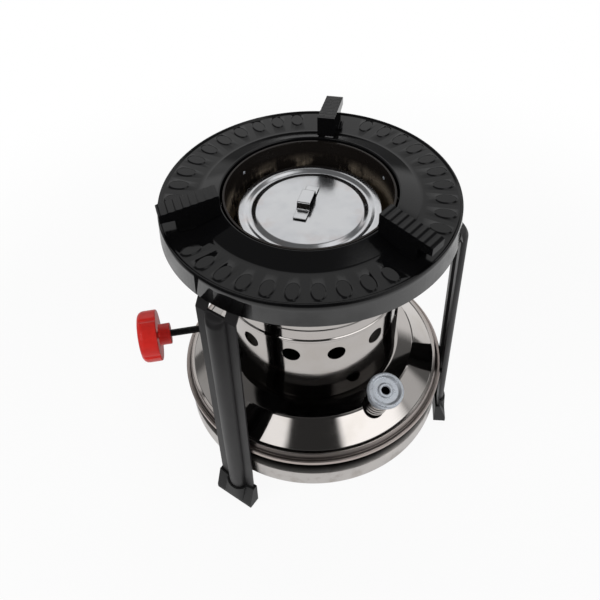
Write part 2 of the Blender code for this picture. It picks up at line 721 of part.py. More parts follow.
def add_pot_rests(finishes):
    seat = PLATE_BAND_TOP + GAP
    fillet_end = PLATE_CONE_RADIUS + PLATE_CONE_FILLET
    end_low = REST_TOP - REST_END_DEPTH
    outline = [
        (REST_INNER_RADIUS, cone_height(REST_INNER_RADIUS) + GAP * 2),
        (PLATE_CONE_RADIUS, seat + GAP * 2),
        (fillet_end, seat),
        (REST_FOOT_RADIUS, seat),
        (REST_FOOT_RADIUS, end_low),
        (REST_OUTER_RADIUS, end_low),
        (REST_OUTER_RADIUS, REST_TOP),
    ]
    rib_pitch = (REST_OUTER_RADIUS - REST_INNER_RADIUS) / REST_RIB_COUNT
    for index in range(REST_RIB_COUNT):
        middle = REST_OUTER_RADIUS - rib_pitch * (index + 1 / 2)
        outer = middle + REST_RIB_WIDTH / 2
        inner = middle - REST_RIB_WIDTH / 2
        rib_top = rest_height(middle) + REST_RIB_RISE
        outline += [
            (outer + REST_RIB_RISE / 2, rest_height(outer + REST_RIB_RISE / 2)),
            (outer, rib_top),
            (inner, rib_top),
            (inner - REST_RIB_RISE / 2, rest_height(inner - REST_RIB_RISE / 2)),
        ]
    outline.append((REST_INNER_RADIUS, rest_height(REST_INNER_RADIUS)))
    half = REST_WIDTH / 2
    shape = moved(prism([outline], -half, half), ACROSS_Y)
    angles = angles_round(REST_COUNT, REST_ANGLE)
    rests = add_copies("pot_rest", REST_COUNT, shape, finishes["black_enamel"], angles)
    tab_half = half + REST_TAB_WIDTH
    for rest in rests:
        tab = box(
            (REST_FOOT_RADIUS - REST_TAB_LENGTH, -tab_half, seat),
            (REST_FOOT_RADIUS - GAP, tab_half, seat + REST_TAB_THICKNESS),
        )
        change(rest, "tabs", tab, "UNION")
        inner = REST_INNER_RADIUS + LEG_SHEET
        outer = REST_OUTER_RADIUS - LEG_SHEET
        hollow = [
            (inner, seat - OVERRUN),
            (outer, seat - OVERRUN),
            (outer, rest_height(outer) - LEG_SHEET),
            (inner, rest_height(inner) - LEG_SHEET),
        ]
        pocket = prism([hollow], -half + LEG_SHEET, half - LEG_SHEET)
        change(rest, "pocket", moved(pocket, ACROSS_Y))


def rib_angles():
    return [math.pi * step / RIB_STEPS for step in range(RIB_STEPS + 1)]


def leg_section(rib_share):
    """A pressed channel's section as (across, outwards) points: two flanges and a round rib."""
    half = LEG_WIDTH / 2
    outer = LEG_RIB_WIDTH / 2
    rise = LEG_RIB_RISE * rib_share
    front = [(outer * math.cos(angle), LEG_SHEET + rise * math.sin(angle)) for angle in rib_angles()]
    inner = outer - LEG_SHEET
    back = [(-inner * math.cos(angle), rise * math.sin(angle)) for angle in rib_angles()]
    return [(half, 0), (half, LEG_SHEET)] + front + [(-half, LEG_SHEET), (-half, 0)] + back


def placed_section(section, distance, height, tilt=0):
    """Stand a section across the leg: tilt turns its outward side up."""
    points = []
    for across, outwards in section:
        points.append((distance + outwards * math.cos(tilt), across, height + outwards * math.sin(tilt)))
    return points


def leg_shape(tongue, tab_height):
    """One channel: straight, then its rib runs out, then it bends in to a level tab."""
    line = [(FLOOR + FOOT_SOLE + GAP, 1)]
    for drop_share, rib_share in SHOULDER_SHARES:
        line.append((LEG_RIB_TOP - LEG_SHOULDER * drop_share, rib_share))
    sections = [placed_section(leg_section(rib), leg_back(height), height) for height, rib in line]
    flat = leg_section(FLAT_RIB_SHARE)
    half_turn = LEG_BEND * (1 - math.cos(math.pi / 4))
    sections.append(placed_section(flat, tongue, SKIRT_LOW))
    sections.append(placed_section(flat, tongue, SKIRT_LOW + LEG_TONGUE_RISE))
    sections.append(placed_section(flat, tongue - half_turn, tab_height - half_turn, math.pi / 4))
    sections.append(placed_section(flat, tongue - LEG_BEND, tab_height, math.pi / 2))
    sections.append(placed_section(flat, LEG_TAB_INNER_RADIUS, tab_height, math.pi / 2))
    return lofted(sections)


def add_legs(finishes):
    tongue_face = math.sqrt((PLATE_RIM_RADIUS - PLATE_SHEET - GAP) ** 2 - (LEG_WIDTH / 2) ** 2)
    tongue = tongue_face - LEG_SHEET - GAP
    nut_low = BAND_UNDER - GAP - NUT_HEIGHT
    tab_top = nut_low - GAP
    tab_height = tab_top - LEG_SHEET - LEG_RIB_RISE * FLAT_RIB_SHARE
    shape = leg_shape(tongue, tab_height)
    angles = angles_round(LEG_COUNT, LEG_ANGLE)
    arch_low = LEG_RIB_TOP + LEG_ARCH_LOW
    arch_round = LEG_ARCH_HEIGHT / 2
    arch_half = LEG_ARCH_WIDTH / 2
    arch = [(-arch_half, arch_low), (arch_half, arch_low)]
    arch += corner_arc((arch_half - arch_round, arch_low + arch_round), arch_round, 0, 90)
    arch += corner_arc((-arch_half + arch_round, arch_low + arch_round), arch_round, 90, 180)
    tab_low = SEAM_LOW - GAP - LEG_SHEET
    back = leg_back(tab_low)
    screw_place = Matrix.Translation((SCREW_PLACE_RADIUS, 0, tab_height))
    for leg in add_copies("leg", LEG_COUNT, shape, finishes["leg_paint"], angles):
        opening = prism([arch], tongue - OVERRUN, leg_back(arch_low) + LEG_SHEET + OVERRUN)
        change(leg, "arch", moved(opening, ACROSS_X))
        hole = rod(SCREW_RADIUS + GAP * 2, -OVERRUN, LEG_SHEET + OVERRUN)
        change(leg, "screw_hole", moved(hole, screw_place))
        tabs = []
        for side in (-1, 1):
            low = side * TANK_TAB_PLACE - TANK_TAB_WIDTH / 2
            tabs.append(
                box(
                    (back - TANK_TAB_REACH, low, tab_low),
                    (back + LEG_SHEET / 2, low + TANK_TAB_WIDTH, tab_low + LEG_SHEET),
                )
            )
        change(leg, "tank_tabs", joined(tabs), "UNION")
    add_leg_screws(finishes, angles, nut_low, tab_height)


def add_leg_screws(finishes, angles, nut_low, tab_height):
    nut_loops = [circle(NUT_RADIUS, NUT_SIDES), circle(SCREW_RADIUS + GAP, SMALL_STEPS)]
    nut = prism(nut_loops, nut_low, nut_low + NUT_HEIGHT)
    add_copies("weld_nut", LEG_COUNT, nut, finishes["inner_steel"], angles, SCREW_PLACE_RADIUS)
    head_top = tab_height - GAP
    head_low = head_top - SCREW_HEAD_HEIGHT
    outline = [
        (0, head_low + DRIVE_DEPTH),
        (DRIVE_RADIUS, head_low + DRIVE_DEPTH),
        (DRIVE_RADIUS, head_low),
        (SCREW_HEAD_RADIUS, head_low),
        (SCREW_HEAD_RADIUS, head_top),
        (SCREW_RADIUS, head_top),
        (SCREW_RADIUS, nut_low + NUT_HEIGHT - GAP),
        (0, nut_low + NUT_HEIGHT - GAP),
    ]
    screw = turned(outline, SMALL_STEPS)
    add_copies("leg_screw", LEG_COUNT, screw, finishes["zinc"], angles, SCREW_PLACE_RADIUS)


def leg_envelope(margin):
    """The leg's section as one filled outline, grown by a margin."""
    half = LEG_WIDTH / 2 + margin
    outer = LEG_RIB_WIDTH / 2 + margin
    top = LEG_SHEET + margin
    front = [(outer * math.cos(angle), top + LEG_RIB_RISE * math.sin(angle)) for angle in rib_angles()]
    return [(half, -margin), (half, top)] + front + [(-half, top), (-half, -margin)]


def add_feet(finishes):
    wall = leg_envelope(GAP + FOOT_WALL)
    front = LEG_CREST + GAP + FOOT_WALL
    spread = 1 + FOOT_SPLAY / LEG_WIDTH
    splayed = [(across * spread, front if outwards > 0 else outwards) for across, outwards in wall]
    sections = [
        placed_section(splayed, leg_back(FLOOR), FLOOR),
        placed_section(splayed, leg_back(FLOOR + FOOT_SOLE_HEIGHT), FLOOR + FOOT_SOLE_HEIGHT),
        placed_section(wall, leg_back(FLOOR + FOOT_SOLE_HEIGHT * 2), FLOOR + FOOT_SOLE_HEIGHT * 2),
        placed_section(wall, leg_back(FLOOR + FOOT_HEIGHT), FLOOR + FOOT_HEIGHT),
    ]
    angles = angles_round(LEG_COUNT, LEG_ANGLE)
    feet = add_copies("foot", LEG_COUNT, lofted(sections), finishes["black_plastic"], angles)
    hollow = leg_envelope(GAP)
    low = FLOOR + FOOT_SOLE
    high = FLOOR + FOOT_HEIGHT + OVERRUN
    for foot in feet:
        pocket = lofted([placed_section(hollow, leg_back(height), height) for height in (low, high)])
        change(foot, "pocket", pocket)


def wick_angles():
    return angles_round(WICK_COUNT, math.pi / WICK_COUNT)


def add_burner(finishes):
    steel = finishes["inner_steel"]
    base_radius = CASING_RADIUS - CASING_FLANGE - GAP
    holes = []
    for angle in wick_angles():
        holes.append(circle(TUBE_RADIUS + GAP, TUBE_STEPS, polar(WICK_RING_RADIUS, angle), angle))
    add_part("burner_base", prism([circle(base_radius, INNER_STEPS)] + holes, BASE_LOW, BASE_TOP), steel)
    gallery_loops = [circle(GALLERY_RADIUS, INNER_STEPS), circle(GALLERY_INNER_RADIUS, INNER_STEPS)]
    add_part("wick_gallery", prism(gallery_loops + holes, GALLERY_TOP - INNER_SHEET, GALLERY_TOP), steel)

    loops = [circle(TUBE_RADIUS, TUBE_STEPS), circle(TUBE_BORE_RADIUS, TUBE_STEPS)]
    tube = prism(loops, BASE_LOW - TUBE_BELOW, TUBE_TOP)
    tubes = add_copies("wick_tube", WICK_COUNT, tube, steel, wick_angles(), WICK_RING_RADIUS)
    slot_half = PRONG_WIDTH / 2 + GAP
    for item in tubes:
        slot = box(
            (-TUBE_RADIUS - OVERRUN, -slot_half, BASE_TOP + GAP),
            (-TUBE_BORE_RADIUS / 2, slot_half, CARRIER_TOP + LIFT + RUNNING_GAP),
        )
        change(item, "slot", slot)
    wick = rod(WICK_RADIUS, SHEET + WICK_FLOOR_GAP, WICK_TOP, TUBE_STEPS)
    add_copies("wick", WICK_COUNT, wick, finishes["cotton"], wick_angles(), WICK_RING_RADIUS)


def prong_hole(angle):
    """A hole round a wick tube, with a prong that points through the tube's slot at the wick."""
    hole_radius = TUBE_RADIUS + RUNNING_GAP
    edge = math.asin(PRONG_WIDTH / 2 / hole_radius)
    points = []
    for step in range(TUBE_STEPS + 1):
        points.append(polar(hole_radius, math.pi + edge + (math.tau - edge * 2) * step / TUBE_STEPS))
    tip = -(WICK_RADIUS + GAP)
    points += [(tip, PRONG_WIDTH / 2), (tip, -PRONG_WIDTH / 2)]
    turn = Matrix.Rotation(angle, 2)
    centre = Vector(polar(WICK_RING_RADIUS, angle))
    return [tuple(turn @ Vector(point) + centre) for point in points]


def rack_outline(low, foot_top):
    root = PITCH_RADIUS + DEDENDUM
    back = root + RACK_BACK
    outline = [(RACK_FOOT_REACH, low), (RACK_FOOT_REACH, foot_top), (back, foot_top), (back, RACK_TOP)]
    outline.append((root, RACK_TOP))
    half = TOOTH_PITCH / 4 - BACKLASH / 2
    slope = math.tan(PRESSURE_ANGLE)
    above = int((RACK_TOP - SHAFT_HEIGHT) / TOOTH_PITCH)
    below = int((SHAFT_HEIGHT - low) / TOOTH_PITCH)
    for index in range(above - 1, -below, -1):
        middle = SHAFT_HEIGHT + (index + 1 / 2) * TOOTH_PITCH
        wide = half + DEDENDUM * slope
        narrow = half - ADDENDUM * slope
        tip = PITCH_RADIUS - ADDENDUM
        outline += [(root, middle + wide), (tip, middle + narrow)]
        outline += [(tip, middle - narrow), (root, middle - wide)]
    outline.append((root, low))
    return outline


def pinion_outline():
    points = []
    half = TOOTH_PITCH / 4 - BACKLASH / 2
    slope = math.tan(PRESSURE_ANGLE)
    rings = (
        (PITCH_RADIUS - DEDENDUM, half + DEDENDUM * slope),
        (PITCH_RADIUS, half),
        (PITCH_RADIUS + ADDENDUM, half - ADDENDUM * slope * 3 / 2),
    )
    for centre in angles_round(PINION_TEETH):
        for radius, thickness in rings:
            points.append(polar(radius, centre - thickness / radius))
        for radius, thickness in reversed(rings):
            points.append(polar(radius, centre + thickness / radius))
    return points


def add_lift(finishes):
    steel = finishes["inner_steel"]
    loops = [circle(CARRIER_RADIUS, INNER_STEPS), circle(CARRIER_BORE_RADIUS, INNER_STEPS // 2)]
    loops += [prong_hole(angle) for angle in wick_angles()]
    add_part("wick_carrier", prism(loops, CARRIER_LOW, CARRIER_TOP), steel)
    foot_low = CARRIER_TOP + GAP
    outline = rack_outline(foot_low, foot_low + RACK_FOOT_THICKNESS)
    rack = moved(prism([outline], -RACK_WIDTH / 2, RACK_WIDTH / 2), ACROSS_X)
    add_part("lift_rack", rack, steel)

    # The control's own frame: +Z runs out to the knob, and +X points at the rack
    out = Matrix(((0, 0, -1, 0), (1, 0, 0, 0), (0, -1, 0, SHAFT_HEIGHT), (0, 0, 0, 1)))
    frame = add_frame("control_axis", out)
    bore_end = KNOB_BACK + KNOB_BORE_DEPTH
    shaft = rod(SHAFT_RADIUS, -SHAFT_INNER_END, bore_end - GAP)
    add_part("control_shaft", shaft, finishes["black_rod"], frame)
    loops = [pinion_outline(), circle(SHAFT_BORE_RADIUS, ROD_STEPS)]
    pinion = prism(loops, -PINION_LENGTH / 2, PINION_LENGTH / 2)
    add_part("pinion", pinion, steel, frame)
    add_knob(finishes, frame, bore_end)
    add_bearings(finishes, out)


def add_knob(finishes, frame, bore_end):
    disc_back = KNOB_BACK + KNOB_HUB_LENGTH
    front = KNOB_FACE - KNOB_CROWN
    outline = [
        (0, bore_end),
        (SHAFT_BORE_RADIUS, bore_end),
        (SHAFT_BORE_RADIUS, KNOB_BACK),
        (KNOB_HUB_RADIUS, KNOB_BACK),
        (KNOB_HUB_RADIUS, disc_back),
        (KNOB_RADIUS - KNOB_BACK_CORNER, disc_back),
        (KNOB_RADIUS, disc_back + KNOB_BACK_CORNER),
    ]
    outline += corner_arc((KNOB_RADIUS - KNOB_FRONT_ROUND, front - KNOB_FRONT_ROUND), KNOB_FRONT_ROUND, 0, 90)
    outline.append((0, KNOB_FACE))
    knob = add_part("control_knob", turned(outline, KNOB_STEPS), finishes["red_plastic"], frame)
    reach = KNOB_RADIUS - FLUTE_DEPTH + FLUTE_RADIUS
    flutes = []
    for angle in angles_round(FLUTE_COUNT, FLUTE_ANGLE):
        place = Matrix.Translation((*polar(reach, angle), 0))
        flutes.append(moved(rod(FLUTE_RADIUS, disc_back - OVERRUN, KNOB_FACE + OVERRUN, SMALL_STEPS), place))
    change(knob, "flutes", joined(flutes))
    middle = KNOB_BACK + KNOB_HUB_LENGTH / 2
    turn = radial(SET_SCREW_ANGLE, middle)
    hole = rod(SET_SCREW_RADIUS + GAP, SHAFT_BORE_RADIUS / 2, KNOB_HUB_RADIUS + OVERRUN, SMALL_STEPS)
    change(knob, "screw_hole", moved(hole, turn))
    screw = rod(SET_SCREW_RADIUS, SHAFT_BORE_RADIUS, KNOB_HUB_RADIUS - SET_SCREW_INSET, SMALL_STEPS)
    add_part("knob_screw", moved(screw, turn), finishes["zinc"], frame)


def add_bearings(finishes, control):
    seat = CASING_RADIUS + GAP
    outline = [
        (SHAFT_BORE_RADIUS, CASING_RADIUS - BUSH_INNER_LENGTH),
        (BUSH_RADIUS, CASING_RADIUS - BUSH_INNER_LENGTH),
        (BUSH_RADIUS, seat),
        (BUSH_FLANGE_RADIUS, seat),
        (BUSH_FLANGE_RADIUS, seat + BUSH_FLANGE_THICKNESS),
        (BUSH_RADIUS, seat + BUSH_FLANGE_THICKNESS),
        (BUSH_RADIUS - BUSH_NOSE / 2, seat + BUSH_FLANGE_THICKNESS + BUSH_NOSE),
        (SHAFT_BORE_RADIUS, seat + BUSH_FLANGE_THICKNESS + BUSH_NOSE),
    ]
    add_part("shaft_bush", moved(turned(outline, ROD_STEPS), control), finishes["black_rod"])

    low = BASE_TOP + GAP
    high = SHAFT_HEIGHT + SHAFT_BORE_RADIUS + BRACKET_TOP_MARGIN
    outer = BRACKET_PLACE + INNER_SHEET
    outline = [
        (BRACKET_PLACE, low),
        (BRACKET_PLACE + BRACKET_FOOT, low),
        (BRACKET_PLACE + BRACKET_FOOT, low + INNER_SHEET),
        (outer, low + INNER_SHEET),
        (outer, high),
        (BRACKET_PLACE, high),
    ]
    shape = moved(prism([outline], -BRACKET_WIDTH / 2, BRACKET_WIDTH / 2), ACROSS_Y)
    bracket = add_part("shaft_bracket", shape, finishes["inner_steel"])
    bore = rod(SHAFT_BORE_RADIUS, BRACKET_PLACE - OVERRUN, outer + OVERRUN)
    change(bracket, "bore", moved(bore, radial(0, SHAFT_HEIGHT)))


def perforations(radius, count):
    tools = []
    for row in range(SLEEVE_HOLE_ROWS):
        height = GALLERY_TOP + SLEEVE_HOLE_LOW + SLEEVE_HOLE_PITCH * row
        for angle in angles_round(count, math.pi / count * (row % 2)):
            tool = rod(SLEEVE_HOLE_RADIUS, radius - THIN_SHEET - OVERRUN, radius + OVERRUN, PERFORATION_STEPS)
            tools.append(moved(tool, radial(angle, height)))
    return joined(tools)


def add_sleeves(finishes):
    baffle_radius = CASING_RADIUS - SHEET - GAP
    baffle_top = BAFFLE_LOW + INNER_SHEET
    loops = [circle(baffle_radius, ROUND_STEPS), circle(GALLERY_RADIUS + GAP, INNER_STEPS)]
    add_part("air_baffle", prism(loops, BAFFLE_LOW, baffle_top), finishes["inner_steel"])

    rim_top = PLATE_HOLE_TOP - WIND_SLEEVE_DROP
    outline = [
        (WIND_SLEEVE_RADIUS, baffle_top + GAP),
        (WIND_SLEEVE_RADIUS, rim_top - WIND_SLEEVE_RIM_HEIGHT),
        (WIND_SLEEVE_RADIUS + WIND_SLEEVE_RIM, rim_top - WIND_SLEEVE_RIM_HEIGHT / 2),
        (WIND_SLEEVE_RADIUS + WIND_SLEEVE_RIM, rim_top),
        (WIND_SLEEVE_RADIUS - SHEET, rim_top),
        (WIND_SLEEVE_RADIUS - SHEET, baffle_top + GAP),
    ]
    add_part("wind_sleeve", turned(outline, ROUND_STEPS), finishes["heated_steel"])

    low = GALLERY_TOP + GAP
    top = LID_UNDER - GAP
    steel = finishes["heated_steel"]
    inside_radius = OUTER_SLEEVE_RADIUS - THIN_SHEET
    ring = [circle(OUTER_SLEEVE_RADIUS, INNER_STEPS), circle(inside_radius, INNER_STEPS)]
    outer = add_part("outer_flame_sleeve", prism(ring, low, top), steel)
    change(outer, "holes", perforations(OUTER_SLEEVE_RADIUS, OUTER_SLEEVE_HOLES))
    cap_top = top - INNER_SLEEVE_DROP
    path = [
        (0, cap_top),
        (INNER_SLEEVE_RADIUS - THIN_SHEET, cap_top),
        (INNER_SLEEVE_RADIUS, cap_top - THIN_SHEET),
        (INNER_SLEEVE_RADIUS, low),
    ]
    inner = add_part("inner_flame_sleeve", turned(sheet_outline(path, -THIN_SHEET), INNER_STEPS), steel)
    change(inner, "holes", perforations(INNER_SLEEVE_RADIUS, INNER_SLEEVE_HOLES))

    pin = rod(SLEEVE_PIN_RADIUS, INNER_SLEEVE_RADIUS + GAP, inside_radius - GAP, SMALL_STEPS)
    pin = moved(pin, radial(0, GALLERY_TOP + SLEEVE_PIN_RISE))
    angles = angles_round(SLEEVE_PIN_COUNT, SLEEVE_PIN_ANGLE)
    add_copies("flame_sleeve_pin", SLEEVE_PIN_COUNT, pin, finishes["inner_steel"], angles)


def add_lid(finishes):
    path = [
        (0, LID_TOP),
        (LID_GROOVE_INNER, LID_TOP),
        (LID_GROOVE_INNER + LID_GROOVE_SLOPE, LID_TOP - LID_GROOVE_DEPTH),
        (LID_GROOVE_OUTER - LID_GROOVE_SLOPE, LID_TOP - LID_GROOVE_DEPTH),
        (LID_GROOVE_OUTER, LID_TOP),
        (LID_RADIUS - LID_CORNER, LID_TOP),
        (LID_RADIUS, LID_TOP - LID_CORNER),
        (LID_RADIUS, LID_TOP - LID_EDGE_DEPTH),
    ]
    inside = path[:5] + [(LID_RADIUS, LID_TOP), path[-1]]
    add_part("burner_lid", turned(sheet_outline(path, -SHEET, inside), ROUND_STEPS), finishes["lid_steel"])

    half = HANDLE_LENGTH / 2
    foot = half - HANDLE_FOOT
    seat = LID_TOP + GAP
    arch = seat + HANDLE_CLEARANCE
    strap = [(-half, seat), (-foot, seat), (-foot + HANDLE_SLOPE, arch)]
    strap += [(foot - HANDLE_SLOPE, arch), (foot, seat), (half, seat)]
    shape = prism([sheet_outline(strap, HANDLE_SHEET)], -HANDLE_WIDTH / 2, HANDLE_WIDTH / 2)
    handle = add_part("lid_handle", moved(shape, ACROSS_Y), finishes["lid_steel"])
    handle.location = (*HANDLE_PLACE, 0)
    handle.rotation_euler = (0, 0, HANDLE_ANGLE)


def main():
    clear_scene()
    finishes = make_finishes()
    add_tank(finishes)
    add_filler(finishes)
    add_casing(finishes)
    add_burner(finishes)
    add_lift(finishes)
    add_sleeves(finishes)
    add_lid(finishes)
    add_top_plate(finishes)
    add_pot_rests(finishes)
    add_legs(finishes)
    add_feet(finishes)


main()
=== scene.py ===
"""Portable kerosene wick stove: its finished surfaces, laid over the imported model.

Metres, +Z up. The origin is the centre of the fuel tank's underside, and the control knob points
along -X. Angles run anticlockwise from +X, seen from above.
"""

import json
import math

import bpy
from bpy.props import FloatProperty, FloatVectorProperty, PointerProperty
from mathutils import Matrix, Vector


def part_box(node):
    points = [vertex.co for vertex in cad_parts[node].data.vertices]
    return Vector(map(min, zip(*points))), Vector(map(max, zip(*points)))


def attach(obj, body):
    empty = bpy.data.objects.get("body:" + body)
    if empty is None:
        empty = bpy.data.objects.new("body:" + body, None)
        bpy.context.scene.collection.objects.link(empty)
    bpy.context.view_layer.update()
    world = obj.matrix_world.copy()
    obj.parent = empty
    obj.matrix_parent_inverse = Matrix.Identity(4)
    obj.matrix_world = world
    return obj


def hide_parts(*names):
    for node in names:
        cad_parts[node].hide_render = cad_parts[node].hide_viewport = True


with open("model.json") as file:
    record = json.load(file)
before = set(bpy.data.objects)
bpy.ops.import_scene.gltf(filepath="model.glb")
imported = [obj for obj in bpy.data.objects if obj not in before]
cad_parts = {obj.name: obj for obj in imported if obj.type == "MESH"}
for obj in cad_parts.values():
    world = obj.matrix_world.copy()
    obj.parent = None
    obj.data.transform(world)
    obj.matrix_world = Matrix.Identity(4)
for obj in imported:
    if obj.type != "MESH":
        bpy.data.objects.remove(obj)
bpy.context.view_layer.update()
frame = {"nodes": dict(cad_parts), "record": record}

bl_info = {
    "name": "Kerosene Wick Stove",
    "version": (1, 0, 0),
    "blender": (4, 5, 0),
    "location": "View3D > Sidebar > Stove",
    "description": "Models and finishes a portable kerosene wick stove",
    "category": "Add Mesh",
}

# Modelling
MERGE = 0.000001
GAP = 0.0003
OVERRUN = 0.002
ROUND_STEPS = 168
SMALL_STEPS = 64
HOLE_STEPS = 40
BEND_STEPS = 4
SMOOTH_ANGLE = math.radians(34)
EDGE_ROUND = 0.00018

# Heights and radii that the frame gives
PAN_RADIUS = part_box("tank_pan")[1].x
TANK_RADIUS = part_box("tank_top")[1].x
SEAM_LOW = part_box("tank_top")[0].z
CROWN_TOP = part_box("tank_top")[1].z
CASING_LOW, CASING_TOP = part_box("outer_casing")[0].z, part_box("outer_casing")[1].z
PLATE_LOW, PLATE_HOLE_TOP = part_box("top_plate")[0].z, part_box("top_plate")[1].z
SKIRT_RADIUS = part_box("top_plate")[1].x
SLEEVE_LOW, SLEEVE_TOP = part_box("wind_sleeve")[0].z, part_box("wind_sleeve")[1].z
FLAME_LOW, FLAME_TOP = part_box("outer_flame_sleeve")[0].z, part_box("outer_flame_sleeve")[1].z
INNER_FLAME_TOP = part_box("inner_flame_sleeve")[1].z
LID_RADIUS, LID_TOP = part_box("burner_lid")[1].x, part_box("burner_lid")[1].z
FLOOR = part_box("foot_1")[0].z
KNOB_FACE = -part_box("control_knob")[0].x
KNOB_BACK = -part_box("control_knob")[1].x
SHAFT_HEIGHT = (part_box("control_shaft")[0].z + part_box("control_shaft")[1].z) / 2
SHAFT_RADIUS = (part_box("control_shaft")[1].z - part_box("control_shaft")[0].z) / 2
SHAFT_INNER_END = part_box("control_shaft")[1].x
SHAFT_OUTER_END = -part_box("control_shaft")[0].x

# Tank
PAN_CORNER = 0.0030
PAN_WALL_TOP = 0.0175
PAN_STEP_RISE = 0.0020
PAN_NECK_RADIUS = 0.0942
SEAM_DEPTH = 0.0048
SEAM_LIP = 0.0035
SEAM_ROLL = 0.0012
SEAM_ROUND = 0.0026
SEAM_GROOVE = 0.0010
BEAD_INSET = 0.0018
BEAD_RISE = 0.0035
BEAD_WIDTH = 0.0026
BEAD_BEND = 0.0008
CREASE_RADIUS = 0.0758
CREASE_RISE = 0.0178
CREASE_LIP = 0.0004
CREASE_WIDTH = 0.0012
SHOULDER_RADIUS = 0.0645
SHOULDER_BEND = 0.0060
TANK_MOUTH_RADIUS = 0.0400

# Filler, measured along its own slanted axis from the dome
FILLER_ANGLE = math.radians(-67.6)
FILLER_RADIUS = 0.0785
FILLER_LEAN_ANGLE = math.radians(-74.4)  # the way in which the neck leans
FILLER_TILT = math.radians(19.3)
NECK_RADIUS = 0.0080
NECK_BORE_RADIUS = 0.0065
NECK_RING = 0.0005
NECK_RING_PITCH = 0.0044
NECK_RING_COUNT = 4
NECK_BELOW = 0.0105
NECK_LENGTH = 0.0320
CAP_SEAT = 0.0019
GASKET_THICKNESS = 0.0013
GASKET_BORE_RADIUS = 0.0050
CAP_RADIUS = 0.0122
CAP_RIM_DEPTH = 0.0045
CAP_RIM_ROUND = 0.0010
CAP_CEILING = 0.0013
CAP_DISH = 0.0013
CAP_HOLE_RADIUS = 0.0030
CAP_HUB_RADIUS = 0.0046
CAP_HUB_RISE = 0.0007
CAP_SKIRT_WALL = 0.0013
CAP_SKIRT_LENGTH = 0.0090
CAP_THREAD_PITCH = 0.0030
CAP_THREAD_DEPTH = 0.0004

# Casing
CASING_CORNER = 0.0010
CASING_FLANGE = 0.0045
CASING_BEAD = 0.0008
CASING_BEAD_LOW = 0.1195
CASING_BEAD_HEIGHT = 0.0034
CASING_BEAD_BEND = 0.0005
CASING_RIB = 0.0005
CASING_RIB_LOW = 0.1310
CASING_RIB_HEIGHT = 0.0012
AIR_HOLE_RADIUS = 0.0062
AIR_HOLE_HEIGHT = 0.1065
AIR_HOLE_COUNT = 13
AIR_HOLE_ANGLE = math.radians(-85.7)
BUSH_RADIUS = 0.0050
BUSH_FLANGE_RADIUS = 0.0070
BUSH_FLANGE_THICKNESS = 0.0014
BUSH_INNER_LENGTH = 0.0022
BUSH_NOSE = 0.0010

# Top plate
PLATE_HOLE_RADIUS = 0.0552
PLATE_LIP_DEPTH = 0.0080
PLATE_CONE_RADIUS = 0.0695
PLATE_CONE_BEND = 0.0090
PLATE_BAND_TOP = 0.1895
PLATE_BAND_RADIUS = 0.0918
PLATE_RIM_RADIUS = 0.0940
PLATE_RIM_RISE = 0.0010
PLATE_RIM_BEND = 0.0006
OVAL_COUNT = 10
OVAL_GROUP_COUNT = 3
OVAL_GROUP_ANGLE = math.radians(8.15)
OVAL_PITCH_ANGLE = math.radians(9.555)
OVAL_RADIUS = 0.0838
OVAL_LENGTH = 0.0139
OVAL_WIDTH = 0.0091
OVAL_RISE = 0.0005
OVAL_FLANK = 0.0010
OVAL_STEPS = 36
OVAL_FLANK_SHARES = ((0, 0), (0.22, 0.10), (0.5, 0.5), (0.78, 0.90), (1, 1), (1.4, 1))  # inset, rise

# Pot rests
REST_COUNT = 3
REST_ANGLE = math.radians(68.0)
REST_INNER_RADIUS = 0.0570
REST_OUTER_RADIUS = 0.0935
REST_FOOT_RADIUS = 0.0840
REST_WIDTH = 0.0115
REST_OUTER_TOP = PLATE_BAND_TOP + 0.0134
REST_SLOPE = 0.139  # how fast the top rises towards the hole
REST_RIB_RISE = 0.00028
REST_RIB_WIDTH = 0.0036
REST_RIB_COUNT = 8
RIB_STEPS = 8
REST_END_DEPTH = 0.0055
REST_TAB_LENGTH = 0.0110
REST_TAB_WIDTH = 0.0020
REST_TAB_THICKNESS = 0.0008

# Legs
LEG_COUNT = 3
LEG_ANGLE = math.radians(105.0)
LEG_SHEET = 0.0012
LEG_WIDTH = 0.0295
LEG_RIB_WIDTH = 0.0144
LEG_RIB_RISE = 0.0053
LEG_LEAN = 0.0395
LEG_RIB_TOP = 0.1666
LEG_SHOULDER = 0.0066
LEG_ARCH_WIDTH = 0.0132
LEG_ARCH_LOW = 0.0008
LEG_ARCH_HEIGHT = 0.0062
LEG_TONGUE_RISE = 0.0055
LEG_BEND = 0.0030
LEG_TAB_INNER_RADIUS = 0.0785
LEG_COLUMNS = 48
LEG_SEAM_HEIGHT = 0.0355
TANK_TAB_WIDTH = 0.0040
TANK_TAB_REACH = 0.0033
TANK_TAB_PLACE = 0.0110
SCREW_PLACE_RADIUS = 0.0835
SCREW_HOLE_RADIUS = 0.0023
NUT_HEIGHT = 0.0030

# Feet
FOOT_WALL = 0.0012
FOOT_SOLE = 0.0030
FOOT_SOLE_HEIGHT = 0.0040
FOOT_HEIGHT = 0.0180
FOOT_EAR_RISE = 0.0020
FOOT_DIP = 0.0034
FOOT_ROUND = 0.0007

